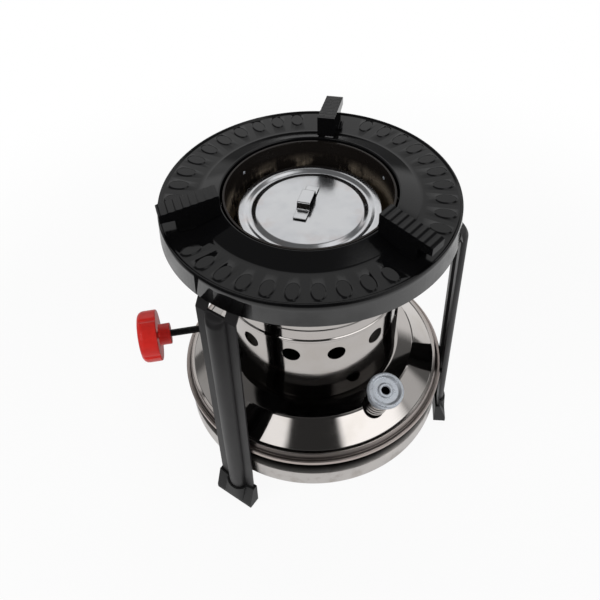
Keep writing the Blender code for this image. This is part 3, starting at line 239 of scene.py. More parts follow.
# Sleeves and lid
WIND_SLEEVE_RADIUS = 0.0534
WIND_SLEEVE_RIM = 0.0006
WIND_SLEEVE_RIM_HEIGHT = 0.0012
RIVET_COUNT = 3
RIVET_ANGLE = math.radians(14.0)
RIVET_RADIUS = 0.0012
RIVET_DROP = 0.0085
OUTER_SLEEVE_RADIUS = 0.0430
INNER_SLEEVE_RADIUS = 0.0250
THIN_SHEET = 0.0006
PERFORATION_RADIUS = 0.0011
PERFORATION_ROWS = 9
PERFORATION_STEPS = 10
OUTER_PERFORATIONS = 36
INNER_PERFORATIONS = 22
LID_CORNER = 0.0008
LID_EDGE_DEPTH = 0.0020
LID_GROOVE_OUTER = 0.0426
LID_GROOVE_INNER = 0.0332
LID_GROOVE_DEPTH = 0.0017
LID_GROOVE_STEPS = 14
HANDLE_ANGLE = math.radians(64.0)
HANDLE_PLACE = Vector((-0.0012, 0.0050, 0))
HANDLE_LENGTH = 0.0340
HANDLE_WIDTH = 0.0085
HANDLE_SHEET = 0.0010
HANDLE_FOOT = 0.0085
HANDLE_SLOPE = 0.0018
HANDLE_BEND = 0.0012
HANDLE_CLEARANCE = 0.0046
HANDLE_EDGE = 0.0004

# Knob
KNOB_HUB_LENGTH = 0.0082
KNOB_HUB_RADIUS = 0.00775
KNOB_RADIUS = 0.0188
KNOB_BACK_CORNER = 0.0008
KNOB_FRONT_ROUND = 0.0045
KNOB_CROWN = 0.0006
FLUTE_COUNT = 4
FLUTE_ANGLE = math.radians(-4.0)
FLUTE_RADIUS = 0.0024
FLUTE_DEPTH = 0.0010
FLUTE_ROUND = 0.0006

# Camera and stage
CAMERA_LENS_MM = 39.6
CAMERA_SENSOR_MM = 36.0
CAMERA_PLACE = Vector((-0.05663, -0.32117, 0.44681))
CAMERA_TURN = tuple(math.radians(angle) for angle in (42.6216, 1.6298, -10.2542))
STAGE_SIZE = 14.0

# Lamps that light the stove: angle and elevation in degrees, distance, size in metres, radiance
LAMPS = (
    ("left_softbox", -156, 32, 1.8, (0.95, 1.20), 3.05),
    ("right_softbox", -46, 33, 1.8, (1.90, 1.20), 1.25),
    ("back_softbox", 78, 60, 1.9, (1.80, 0.90), 0.80),
)

# What bright metal mirrors of the studio: angle, elevation, width and height of each pale
# patch and the softness of its edge, all in degrees, and its level
PATCHES = (
    (-139, 37.5, 30, 14, 7, 1.15),
    (-163, 36, 8, 10, 4, 0.90),
    (-48, 33, 58, 20, 9, 1.45),
    (-9, 20, 24, 18, 9, 0.50),
    (-12, 70, 80, 22, 12, 0.80),
    (140, 14, 84, 16, 7, 0.36),
    (78, 46, 70, 34, 10, 0.62),
    (62, 26, 116, 24, 7, 0.72),
)
ROOM_LEVEL = 0.10
FRONT_LEVEL = 0.030
FLOOR_NEAR_LEVEL = 0.66  # what metal mirrors of the floor round the stove
FLOOR_FRONT_LEVEL = 0.02
FLOOR_RIGHT_LEVEL = 0.42
FLOOR_BACK_LEVEL = 0.50
FLOOR_NEAR_RADIUS = 0.235
FLOOR_FAR_RADIUS = 0.300
SHADOW_SHARE = 0.08  # how much of the lamps' shadow shows on the white floor
ROOM_AGAIN_SHARE = 0.04  # what is left of a pale patch once it is mirrored twice
FLOOR_AGAIN_SHARE = 0.03


def colour(name, description, red, green, blue):
    return FloatVectorProperty(
        name=name, description=description, subtype="COLOR", size=3, min=0, max=1, default=(red, green, blue)
    )


def length(name, description, default):
    return FloatProperty(name=name, description=description, default=default, min=0, unit="LENGTH", precision=5)


class StoveSizes(bpy.types.PropertyGroup):
    """Sizes of the stove's finished pieces"""

    sheet: length("Sheet", "Thickness of the tank's, casing's and lid's sheet", 0.0008)
    plate_sheet: length("Plate sheet", "Thickness of the top plate", 0.0010)
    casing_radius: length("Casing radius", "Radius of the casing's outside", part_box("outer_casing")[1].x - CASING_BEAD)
    air_hole_radius: length("Air hole radius", "Radius of the casing's air holes", AIR_HOLE_RADIUS)
    oval_rise: length("Oval rise", "How far the plate's ovals stand up", OVAL_RISE)
    rib_rise: length("Rest rib rise", "How far the pot rests' cross ribs stand up", REST_RIB_RISE)
    leg_width: length("Leg width", "Width of a leg over its flanges", LEG_WIDTH)
    foot_height: length("Foot height", "Height of a moulded foot", FOOT_HEIGHT)
    knob_radius: length("Knob radius", "Radius of the control knob", KNOB_RADIUS)
    edge_round: length("Edge rounding", "Width of the bevel on cut edges", EDGE_ROUND)


class StoveColours(bpy.types.PropertyGroup):
    """Colours of the stove's finishes"""

    bright: colour("Bright steel", "Plated steel of the tank's dome and the casing", 0.66, 0.625, 0.60)
    satin: colour("Satin steel", "Steel of the tank's pan", 0.70, 0.665, 0.64)
    lid: colour("Lid steel", "Steel of the burner lid", 0.90, 0.91, 0.93)
    heated: colour("Heated steel", "Steel that the flame has browned", 0.20, 0.165, 0.125)
    enamel: colour("Black enamel", "Enamel of the top plate and pot rests", 0.0042, 0.0042, 0.0046)
    paint: colour("Leg paint", "Paint of the legs", 0.027, 0.026, 0.027)
    moulding: colour("Foot plastic", "Plastic of the feet", 0.008, 0.008, 0.0085)
    rod: colour("Rod", "Blackened steel of the control shaft", 0.016, 0.016, 0.016)
    red: colour("Knob red", "Plastic of the control knob", 0.88, 0.030, 0.022)
    zinc: colour("Zinc", "Plating of the filler cap and screws", 0.70, 0.75, 0.82)
    inner: colour("Inner steel", "Plain steel inside the burner", 0.42, 0.40, 0.37)
    cotton: colour("Cotton", "Plaited cotton of the wicks", 0.76, 0.70, 0.58)
    rubber: colour("Rubber", "Rubber of the cap's seal", 0.015, 0.015, 0.015)
    floor: colour("Floor", "Pale floor under the stove", 0.93, 0.93, 0.93)


def deselect_all():
    if bpy.context.object and bpy.context.object.mode != "OBJECT":
        bpy.ops.object.mode_set(mode="OBJECT")
    bpy.ops.object.select_all(action="DESELECT")


def pick(*items):
    """Select these objects alone, with the first of them active."""
    deselect_all()
    for item in items:
        item.select_set(True)
    bpy.context.view_layer.objects.active = items[0]


def edit(piece):
    pick(piece)
    bpy.ops.object.mode_set(mode="EDIT")
    bpy.ops.mesh.select_mode(type="VERT")
    bpy.ops.mesh.select_all(action="SELECT")


def close_up():
    """Merge doubles and turn the faces outwards, in edit mode, then leave it."""
    bpy.ops.mesh.select_all(action="SELECT")
    bpy.ops.mesh.remove_doubles(threshold=MERGE)
    bpy.ops.mesh.normals_make_consistent(inside=False)
    bpy.ops.object.mode_set(mode="OBJECT")


def bent(corners, closed=False):
    """Points along an outline in the XZ plane. A corner is (radius, height), or (radius,
    height, bend radius) where it is rounded by an arc."""
    points = []
    places = [Vector((corner[0], 0, corner[1])) for corner in corners]
    for index, corner in enumerate(corners):
        place = places[index]
        inner = closed or 0 < index < len(corners) - 1
        if len(corner) < 3 or not inner:
            points.append(place)
            continue
        before = places[index - 1] - place
        after = places[(index + 1) % len(places)] - place
        half = before.angle(after) / 2
        reach = min(corner[2] / math.tan(half), before.length * 0.49, after.length * 0.49)
        radius = reach * math.tan(half)
        centre = place + (before.normalized() + after.normalized()).normalized() * (radius / math.sin(half))
        start = (place + before.normalized() * reach - centre).normalized()
        end = (place + after.normalized() * reach - centre).normalized()
        for step in range(BEND_STEPS + 1):
            points.append(centre + start.slerp(end, step / BEND_STEPS) * radius)
    return points


def trace(name, points, closed=False):
    """Draw a chain of edges by extruding one corner from point to point."""
    deselect_all()
    bpy.ops.mesh.primitive_plane_add(size=GAP, location=points[0])
    piece = bpy.context.object
    piece.name = name
    bpy.ops.object.mode_set(mode="EDIT")
    bpy.ops.mesh.select_mode(type="VERT")
    bpy.ops.mesh.merge(type="CENTER")
    route = list(points)
    if closed:
        route.append(points[0])
    for start, end in zip(route, route[1:]):
        bpy.ops.mesh.extrude_region_move(TRANSFORM_OT_translate={"value": end - start})
    bpy.ops.mesh.select_all(action="SELECT")
    bpy.ops.mesh.remove_doubles(threshold=MERGE)
    return piece


def spun(name, corners, steps=ROUND_STEPS, closed=False):
    """Turn an outline about the Z axis."""
    piece = trace(name, bent(corners, closed), closed)
    bpy.ops.mesh.select_all(action="SELECT")
    bpy.ops.mesh.spin(steps=steps, angle=math.tau, center=(0, 0, 0), axis=(0, 0, 1))
    close_up()
    pick(piece)
    bpy.ops.object.transform_apply(location=True, rotation=True, scale=True)
    return piece


def add_step(piece, kind, **settings):
    """Add a modifier, set it up and apply it."""
    pick(piece)
    bpy.ops.object.modifier_add(type=kind)
    step = piece.modifiers[-1]
    for key, value in settings.items():
        setattr(step, key, value)
    bpy.ops.object.modifier_apply(modifier=step.name)
    return piece


def thicken(piece, thickness, side=-1):
    """Give a surface its sheet, behind its faces or, with 1, before them."""
    return add_step(piece, "SOLIDIFY", thickness=thickness, offset=side, use_even_offset=True)


def soften(piece, width=None, segments=2, angle=SMOOTH_ANGLE):
    """Round the sharp edges."""
    width = width or bpy.context.scene.stove_sizes.edge_round
    return add_step(
        piece, "BEVEL", width=width, segments=segments, limit_method="ANGLE", angle_limit=angle, miter_outer="MITER_ARC"
    )


def cut(piece, tool, operation="DIFFERENCE"):
    """Cut a tool out of a piece, or join it on, and delete the tool."""
    add_step(piece, "BOOLEAN", object=tool, operation=operation, solver="EXACT")
    pick(tool)
    bpy.ops.object.delete()
    return piece


def gather(items):
    """Join several objects into the first."""
    pick(*items)
    bpy.ops.object.join()
    bpy.ops.object.transform_apply(location=True, rotation=True, scale=True)
    return items[0]


def cylinder(radius, low, high, steps=HOLE_STEPS, matrix=Matrix()):
    """A cylinder between two heights on the Z axis, then carried by a matrix."""
    deselect_all()
    bpy.ops.mesh.primitive_cylinder_add(
        vertices=steps, radius=radius, depth=high - low, location=(0, 0, (low + high) / 2), end_fill_type="NGON"
    )
    tool = bpy.context.object
    bpy.ops.object.transform_apply(location=True)
    tool.data.transform(matrix)
    return tool


def block(low, high):
    """A box between two corners."""
    deselect_all()
    bpy.ops.mesh.primitive_cube_add(size=1, location=(Vector(low) + Vector(high)) / 2)
    tool = bpy.context.object
    tool.scale = Vector(high) - Vector(low)
    bpy.ops.object.transform_apply(location=True, rotation=True, scale=True)
    return tool


def slab(name, points, thickness):
    """Fill a closed outline and extrude it by a vector."""
    piece = trace(name, points, closed=True)
    bpy.ops.mesh.edge_face_add()
    bpy.ops.mesh.extrude_region_move(TRANSFORM_OT_translate={"value": thickness})
    close_up()
    pick(piece)
    bpy.ops.object.transform_apply(location=True, rotation=True, scale=True)
    return piece


def radial(angle, height):
    """Carry a shape along +Z to one that points outwards at this angle and height."""
    turn = Matrix.Rotation(angle, 4, "Z")
    return turn @ Matrix.Translation((0, 0, height)) @ Matrix.Rotation(math.pi / 2, 4, "Y")


def carried(piece, matrix):
    piece.data.transform(matrix)
    piece.data.update()
    return piece


def turned_copies(piece, name, count, first_angle):
    """Copies of a piece round the Z axis, numbered from 1. The last takes the piece itself."""
    items = []
    for number in range(count):
        item = piece
        if number < count - 1:
            item = duplicate_of(piece)
        carried(item, Matrix.Rotation(first_angle + math.tau * number / count, 4, "Z"))
        item.name = f"{name}_{number + 1}"
        items.append(item)
    return items


def duplicate_of(piece):
    pick(piece)
    bpy.ops.object.duplicate()
    return bpy.context.object


def ring_of(piece, count):
    """Repeat a piece round the Z axis within its own mesh."""
    deselect_all()
    bpy.ops.object.empty_add(rotation=(0, 0, math.tau / count))
    turner = bpy.context.object
    add_step(piece, "ARRAY", count=count, use_relative_offset=False, use_object_offset=True, offset_object=turner)
    pick(turner)
    bpy.ops.object.delete()
    return piece


def keep_normals(piece, model):
    """Shade a cut piece as its uncut model is shaded, and delete the model."""
    shade(model)
    add_step(
        piece,
        "DATA_TRANSFER",
        object=model,
        use_loop_data=True,
        data_types_loops={"CUSTOM_NORMAL"},
        loop_mapping="POLYINTERP_NEAREST",
    )
    pick(model)
    bpy.ops.object.delete()


def angles_round(count, start=0):
    return [start + math.tau * index / count for index in range(count)]


def shade(piece):
    """Smooth shading in which the large faces keep their own direction."""
    pick(piece)
    bpy.ops.object.shade_smooth_by_angle(angle=SMOOTH_ANGLE)
    add_step(piece, "WEIGHTED_NORMAL", keep_sharp=True, weight=100)


def complete(piece, finish, body, *nodes):
    """Shade a piece, give it its finish and let it ride on a body in place of its nodes."""
    shade(piece)
    piece.data.materials.clear()
    piece.data.materials.append(finish_named(finish))
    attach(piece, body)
    if nodes:
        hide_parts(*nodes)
    return piece


class Value:
    """One socket of a material's nodes, on which sums can be written."""

    def __init__(self, maker, socket):
        self.maker = maker
        self.socket = socket

    def sum(self, operation, first, second=0.0):
        return self.maker.add("ShaderNodeMath", {"operation": operation}, {0: first, 1: second})

    def __add__(self, other):
        return self.sum("ADD", self, other)

    def __radd__(self, other):
        return self.sum("ADD", other, self)

    def __sub__(self, other):
        return self.sum("SUBTRACT", self, other)

    def __rsub__(self, other):
        return self.sum("SUBTRACT", other, self)

    def __mul__(self, other):
        return self.sum("MULTIPLY", self, other)

    def __rmul__(self, other):
        return self.sum("MULTIPLY", other, self)

    def __truediv__(self, other):
        return self.sum("DIVIDE", self, other)

    def __pow__(self, other):
        return self.sum("POWER", self, other)

    def smaller_of(self, other):
        return self.sum("MINIMUM", self, other)

    def larger_of(self, other):
        return self.sum("MAXIMUM", self, other)

    def clipped(self):
        return self.smaller_of(1.0).larger_of(0.0)


class Maker:
    """The nodes of one material or world."""

    def __init__(self, owner):
        owner.use_nodes = True
        self.owner = owner
        self.tree = owner.node_tree
        self.tree.nodes.clear()

    def add(self, kind, settings=None, sockets=None, output=0):
        """Add a node: its settings first, then the values or links of its sockets."""
        node = self.tree.nodes.new(kind)
        for key, value in (settings or {}).items():
            if key == "stops":
                self.set_stops(node.color_ramp, value)
            else:
                setattr(node, key, value)
        for key, value in (sockets or {}).items():
            if isinstance(value, Value):
                self.tree.links.new(value.socket, node.inputs[key])
            else:
                node.inputs[key].default_value = value
        return Value(self, node.outputs[output]) if node.outputs else node

    def set_stops(self, ramp, stops):
        while len(ramp.elements) > 1:
            ramp.elements.remove(ramp.elements[-1])
        ramp.elements[0].position = stops[0][0]
        ramp.elements[0].color = stops[0][1]
        for position, shade in stops[1:]:
            ramp.elements.new(position).color = shade

    def place(self, stretch=(1, 1, 1)):
        """Object coordinates, stretched along an axis for streaks."""
        where = self.add("ShaderNodeTexCoord", output=3)
        if stretch == (1, 1, 1):
            return where
        return self.add("ShaderNodeMapping", {}, {"Vector": where, "Scale": stretch})

    def axis_values(self):
        """Distance from the Z axis, angle about it and height."""
        parts = self.tree.nodes.new("ShaderNodeSeparateXYZ")
        self.tree.links.new(self.place().socket, parts.inputs[0])
        x, y, z = (Value(self, socket) for socket in parts.outputs)
        distance = (x * x + y * y) ** 0.5
        angle = self.add("ShaderNodeMath", {"operation": "ARCTAN2"}, {0: y, 1: x})
        return distance, angle, z

    def point(self, x, y, z):
        return self.add("ShaderNodeCombineXYZ", {}, {0: x, 1: y, 2: z})

    def noise(self, where, scale, detail=3.0, roughness=0.55):
        sockets = {"Vector": where, "Scale": scale, "Detail": detail, "Roughness": roughness}
        return self.add("ShaderNodeTexNoise", {}, sockets)

    def band(self, value, low, high):
        """0 below low, 1 above high, and smooth between them."""
        sockets = {"Value": value, "From Min": low, "From Max": high}
        return self.add("ShaderNodeMapRange", {"interpolation_type": "SMOOTHSTEP"}, sockets)

    def mix(self, factor, first, second):
        """A colour between two."""
        return self.add("ShaderNodeMix", {"data_type": "RGBA"}, {0: factor, 6: first, 7: second}, output=2)

    def bump(self, height, distance, strength=1.0, normal=None):
        sockets = {"Height": height, "Distance": distance, "Strength": strength}
        if normal:
            sockets["Normal"] = normal
        return self.add("ShaderNodeBump", {}, sockets)

    def surface(self, **sockets):
        """The finished shader. Socket names are given with _ for a space."""
        named = {key.replace("_", " "): value for key, value in sockets.items()}
        shader = self.add("ShaderNodeBsdfPrincipled", {}, named)
        self.add("ShaderNodeOutputMaterial", {}, {"Surface": shader})


def rgba(shade, level=1.0):
    return tuple(part * level for part in shade) + (1.0,)


def tinted(shade, red, green, blue):
    return (shade[0] * red, shade[1] * green, shade[2] * blue, 1.0)


def make_bright_steel(maker, colours):
    """Bright plating: nearly a mirror, with polishing lines round the axis, faint smudges and a painted darker
    reflection over the seam and bead.
    """
    distance, angle, height = maker.axis_values()
    smudge = maker.noise(maker.place(), 38, 4)
    rub = maker.noise(maker.point(distance * 900, angle * 2, height * 900), 1.0, 2)
    wave = maker.noise(maker.place(), 55, 1)
    haze = maker.band(smudge, 0.45, 0.75)
    base = maker.mix(haze * 0.5, rgba(colours.bright), tinted(colours.bright, 0.90, 0.88, 0.84))
    # Painted reflection: over the seam and bead the plating is tinted darker and warmer and made rougher, standing in
    # for the dark reflection there.
    seam = maker.band(distance, TANK_RADIUS - BEAD_WIDTH * 3, TANK_RADIUS - BEAD_WIDTH)
    base = maker.mix(seam * 0.6, base, tinted(colours.bright, 0.92, 0.80, 0.76))
    roughness = 0.060 + haze * 0.05 + rub * 0.04 + seam * 0.26
    normal = maker.bump(wave, 0.00022, 0.30)
    normal = maker.bump(rub, 0.000012, 0.35, normal)
    maker.surface(Base_Color=base, Metallic=1.0, Roughness=roughness, Normal=normal)


def make_satin_steel(maker, colours):
    """Satin plating with upright draw marks, water stains and rubbed patches, and painted shade, near black, from the
    top of its wall up into the step under the seam.
    """
    distance, angle, height = maker.axis_values()
    draw = maker.noise(maker.point(angle * 60, height * 260, distance * 260), 1.0, 4)
    stain = maker.noise(maker.place(), 70, 5, 0.65)
    patch = maker.noise(maker.place((1, 1, 2)), 22, 2)
    dull = maker.band(stain, 0.50, 0.68)
    base = maker.mix(dull * 0.55, rgba(colours.satin), tinted(colours.satin, 0.72, 0.69, 0.66))
    base = maker.mix(maker.band(patch, 0.52, 0.70) * 0.5, base, tinted(colours.satin, 1.28, 1.27, 1.24))
    # Painted shade: from the top of the wall upwards the pan is painted near black and made rougher, standing in for
    # the shadow under the seam.
    painted_step_shade = maker.band(height, PAN_WALL_TOP - PAN_STEP_RISE / 2, PAN_WALL_TOP + PAN_STEP_RISE)
    base = maker.mix(painted_step_shade, base, (0.014, 0.012, 0.011, 1.0))
    roughness = 0.25 + draw * 0.10 + dull * 0.10 + painted_step_shade * 0.35
    normal = maker.bump(draw, 0.00004, 0.5)
    maker.surface(Base_Color=base, Metallic=1.0, Roughness=roughness, Normal=normal)


def make_lid_steel(maker, colours):
    """Satin lid steel, with soft clouds, a warm tint towards the rim and fine scratches."""
    distance, angle, height = maker.axis_values()
    cloud = maker.noise(maker.place(), 55, 4, 0.6)
    scratch = maker.noise(maker.place((1, 14, 1)), 260, 3, 0.7)
    warm = maker.band(maker.noise(maker.place(), 85, 3), 0.52, 0.74) * maker.band(distance, 0.012, 0.040)
    base = maker.mix(maker.band(cloud, 0.40, 0.72) * 0.45, rgba(colours.lid), tinted(colours.lid, 0.80, 0.81, 0.84))
    base = maker.mix(warm * 0.35, base, tinted(colours.lid, 0.86, 0.70, 0.64))
    roughness = 0.13 + cloud * 0.10 + maker.band(scratch, 0.62, 0.80) * 0.06
    wave = maker.noise(maker.place(), 42, 2)
    normal = maker.bump(wave, 0.0006, 0.25)
    normal = maker.bump(scratch, 0.00002, 0.4, normal)
    maker.surface(Base_Color=base, Metallic=1.0, Roughness=roughness, Normal=normal)


def make_heated_steel(maker, colours):
    """Steel that the flame has browned nearly black, with straw patches low down and streaks, and a painted lighter
    sheen that favours its left and right sides.
    """
    distance, angle, height = maker.axis_values()
    cloud = maker.noise(maker.point(angle * 3, height * 60, distance * 60), 1.0, 4, 0.6)
    streak = maker.noise(maker.point(angle * 26, height * 20, 0.0), 1.0, 3)
    low = 1.0 - maker.band(height, SLEEVE_TOP - 0.024, SLEEVE_TOP - 0.008)
    # Painted sheen: the pale straw tone is made likelier on the sides that face +X and -X, standing in for the brighter
    # reflection there. The rest of it is heat tint.
    painted_side_sheen = maker.add("ShaderNodeMath", {"operation": "COSINE"}, {0: angle})
    painted_side_sheen = maker.band(painted_side_sheen * painted_side_sheen, 0.72, 0.98)
    straw_and_side_sheen = maker.band(cloud + streak * 0.30 + painted_side_sheen * 0.30, 0.56, 0.78) * low
    base = maker.mix(straw_and_side_sheen, tinted(colours.heated, 0.13, 0.13, 0.15), rgba(colours.heated, 3.2))
    soot = maker.band(maker.noise(maker.place(), 150, 5, 0.7), 0.58, 0.72)
    base = maker.mix(soot * 0.7, base, (0.012, 0.011, 0.010, 1.0))
    roughness = 0.20 + straw_and_side_sheen * 0.16 + soot * 0.25
    normal = maker.bump(streak, 0.00020, 0.30)
    maker.surface(Base_Color=base, Metallic=0.5 - soot * 0.4, Roughness=roughness, Normal=normal)


def make_black_enamel(maker, colours):
    """Glossy stove enamel with an orange-peel surface, faint haze and a little dust."""
    peel = maker.noise(maker.place(), 520, 2)
    pool = maker.noise(maker.place(), 40, 2)
    haze = maker.noise(maker.place(), 26, 5, 0.6)
    dust = maker.band(maker.noise(maker.place(), 1900, 2, 0.5), 0.74, 0.80)
    base = maker.mix(dust * 0.35, rgba(colours.enamel), (0.11, 0.11, 0.115, 1.0))
    roughness = 0.08 + maker.band(haze, 0.42, 0.72) * 0.07 + dust * 0.30
    normal = maker.bump(peel, 0.00005, 0.16)
    normal = maker.bump(pool, 0.00030, 0.12, normal)
    maker.surface(Base_Color=base, Metallic=0.0, Roughness=roughness, IOR=1.45, Normal=normal)


def make_leg_paint(maker, colours):
    """Satin dark grey paint with a fine grain, soft mottling and rub marks down its length."""
    grain = maker.noise(maker.place(), 1500, 2)
    mottle = maker.noise(maker.place((1, 1, 0.35)), 90, 3)
    rub = maker.noise(maker.place((6, 6, 0.6)), 120, 3, 0.6)
    base = maker.mix(maker.band(mottle, 0.35, 0.70) * 0.5, rgba(colours.paint), rgba(colours.paint, 0.72))
    base = maker.mix(maker.band(rub, 0.66, 0.80) * 0.5, base, rgba(colours.paint, 2.1))
    roughness = 0.33 + mottle * 0.10 + maker.band(rub, 0.60, 0.80) * 0.10
    normal = maker.bump(grain, 0.00004, 0.30)
    maker.surface(Base_Color=base, Metallic=0.25, Roughness=roughness, Normal=normal)


def make_black_plastic(maker, colours):
    """Matt moulded plastic with a spark-eroded grain and scuffed low edges."""
    grain = maker.noise(maker.place(), 2400, 3)
    distance, angle, height = maker.axis_values()
    scuff = maker.band(maker.noise(maker.place(), 420, 4, 0.7), 0.50, 0.70)
    scuff = scuff * maker.band(FLOOR + FOOT_SOLE_HEIGHT - height, 0.0, FOOT_SOLE_HEIGHT)
    base = maker.mix(scuff * 0.5, rgba(colours.moulding), rgba(colours.moulding, 3.4))
    roughness = 0.42 + grain * 0.12 + scuff * 0.15
    maker.surface(Base_Color=base, Roughness=roughness, Normal=maker.bump(grain, 0.00006, 0.45))


def make_black_rod(maker, colours):
    """Blackened steel rod with fine turning marks and worn spots."""
    parts = maker.place((1, 1, 1))
    marks = maker.noise(maker.place((9, 1, 1)), 340, 2)
    worn = maker.band(maker.noise(parts, 210, 4, 0.65), 0.56, 0.74)
    base = maker.mix(worn * 0.5, rgba(colours.rod), rgba(colours.rod, 4.5))
    roughness = 0.30 + marks * 0.14 + worn * 0.08
    maker.surface(Base_Color=base, Metallic=0.6, Roughness=roughness, Normal=maker.bump(marks, 0.00004, 0.4))


def make_red_plastic(maker, colours):
    """Moulded red plastic: faint flow clouds, fine grain and small handling marks."""
    cloud = maker.noise(maker.place(), 75, 3)
    grain = maker.noise(maker.place(), 2100, 2)
    marks = maker.band(maker.noise(maker.place((1, 5, 5)), 260, 4, 0.7), 0.62, 0.74)
    base = maker.mix(maker.band(cloud, 0.35, 0.70) * 0.6, rgba(colours.red), tinted(colours.red, 0.80, 0.70, 0.70))
    base = maker.mix(marks * 0.18, base, tinted(colours.red, 1.25, 4.0, 5.0))
    roughness = 0.30 + cloud * 0.10 + marks * 0.12
    maker.surface(Base_Color=base, Roughness=roughness, Normal=maker.bump(grain, 0.00003, 0.35))


def make_zinc(maker, colours):
    """Bluish zinc plating with a soft sheen, fine rings and pale clouds."""
    cloud = maker.noise(maker.place(), 190, 4, 0.6)
    grain = maker.noise(maker.place(), 1600, 3)
    tint = maker.band(cloud, 0.40, 0.68)
    base = maker.mix(tint * 0.7, rgba(colours.zinc), tinted(colours.zinc, 1.22, 1.20, 1.16))
    roughness = 0.20 + cloud * 0.12 + grain * 0.05
    maker.surface(Base_Color=base, Metallic=0.65, Roughness=roughness, Normal=maker.bump(grain, 0.00001, 0.2))


def make_inner_steel(maker, colours):
    """Plain steel inside the burner, with an oily film, rolling lines and rust specks."""
    film = maker.noise(maker.place(), 130, 4, 0.6)
    lines = maker.noise(maker.place((1, 22, 1)), 120, 3)
    speck = maker.band(maker.noise(maker.place(), 900, 4, 0.7), 0.68, 0.78)
    base = maker.mix(maker.band(film, 0.38, 0.70) * 0.7, rgba(colours.inner), tinted(colours.inner, 0.66, 0.60, 0.52))
    base = maker.mix(speck * 0.6, base, (0.10, 0.045, 0.020, 1.0))
    roughness = 0.28 + film * 0.16 + speck * 0.3
    normal = maker.bump(lines, 0.00003, 0.4)
    maker.surface(Base_Color=base, Metallic=1.0 - speck * 0.7, Roughness=roughness, Normal=normal)


def make_cotton(maker, colours):
    """Plaited cotton: strands that cross at a slant, with painted shade in the hollows between them, and charred on
    top.
    """
    distance, angle, height = maker.axis_values()
    left = maker.add("ShaderNodeMath", {"operation": "SINE"}, {0: height * 3600 + distance * 2600})
    right = maker.add("ShaderNodeMath", {"operation": "SINE"}, {0: height * 3600 - distance * 2600})
    plait = left.larger_of(right) * 0.5 + 0.5
    fibre = maker.noise(maker.place((1, 1, 0.3)), 2600, 3)
    # Painted shade: the hollows between the plaited strands are painted darker.
    base = maker.mix(plait * 0.7 + fibre * 0.3, rgba(colours.cotton, 0.45), rgba(colours.cotton))
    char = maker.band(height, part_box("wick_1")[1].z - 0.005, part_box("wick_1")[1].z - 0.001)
    base = maker.mix(char * 0.85, base, (0.035, 0.026, 0.020, 1.0))
    normal = maker.bump(plait + fibre * 0.5, 0.00035, 0.7)
    maker.surface(Base_Color=base, Roughness=0.85 + fibre * 0.1, Sheen_Weight=0.3, Normal=normal)


def make_rubber(maker, colours):
    """Matt rubber with a dusty bloom."""
    bloom = maker.band(maker.noise(maker.place(), 420, 4, 0.6), 0.48, 0.70)
    base = maker.mix(bloom * 0.5, rgba(colours.rubber), rgba(colours.rubber, 2.6))
    grain = maker.noise(maker.place(), 1800, 2)
    maker.surface(Base_Color=base, Roughness=0.62 + bloom * 0.25, Normal=maker.bump(grain, 0.00004, 0.4))


FINISHES = {
    "bright_steel": make_bright_steel,
    "satin_steel": make_satin_steel,
    "lid_steel": make_lid_steel,
    "heated_steel": make_heated_steel,
    "black_enamel": make_black_enamel,
    "leg_paint": make_leg_paint,
    "black_plastic": make_black_plastic,
    "black_rod": make_black_rod,
    "red_plastic": make_red_plastic,
    "zinc": make_zinc,
    "inner_steel": make_inner_steel,
    "cotton": make_cotton,
    "rubber": make_rubber,
}


def finish_named(name):
    """The material of that name, made on first use."""
    material_name = f"stove_{name}"
    material = bpy.data.materials.get(material_name)
    if material is None:
        material = bpy.data.materials.new(material_name)
        FINISHES[name](Maker(material), bpy.context.scene.stove_colours)
    return material


def filler_matrix():
    base = (
        FILLER_RADIUS * math.cos(FILLER_ANGLE),
        FILLER_RADIUS * math.sin(FILLER_ANGLE),
        SEAM_LOW + SEAM_DEPTH + CREASE_RISE,
    )
    turn = Matrix.Rotation(FILLER_LEAN_ANGLE, 4, "Z") @ Matrix.Rotation(FILLER_TILT, 4, "Y")
    return Matrix.Translation(base) @ turn


def cone_height(radius):
    """Height of the top plate's upper face over its raised middle."""
    fall = (PLATE_HOLE_TOP - PLATE_BAND_TOP) / (PLATE_CONE_RADIUS - PLATE_HOLE_RADIUS)
    return PLATE_BAND_TOP + (PLATE_CONE_RADIUS - radius) * fall


def rest_height(radius):
    """Height of a pot rest's top between its ribs."""
    return REST_OUTER_TOP + (REST_OUTER_RADIUS - radius) * REST_SLOPE


def leg_back(height):
    """Distance from the stove's axis to the back of a leg's flanges."""
    return TANK_RADIUS + GAP + (LEG_SEAM_HEIGHT - height) * LEG_LEAN


class STOVE_OT_tank_pan(bpy.types.Operator):
    """Model the tank's satin lower half"""

    bl_idname = "stove.tank_pan"
    bl_label = "Tank Pan"

    def execute(self, context):
        sheet = context.scene.stove_sizes.sheet
        flange_low = SEAM_LOW + sheet + GAP
        step_top = PAN_WALL_TOP + PAN_STEP_RISE
        corners = [
            (0, 0),
            (PAN_RADIUS, 0, PAN_CORNER),
            (PAN_RADIUS, PAN_WALL_TOP, sheet),
            (PAN_NECK_RADIUS, step_top, sheet),
            (PAN_NECK_RADIUS, flange_low, sheet / 2),
            (TANK_RADIUS - sheet - GAP, flange_low),
        ]
        pan = thicken(spun("satin_tank_pan", corners), sheet, 1)
        complete(pan, "satin_steel", "stove", "tank_pan")
        return {"FINISHED"}


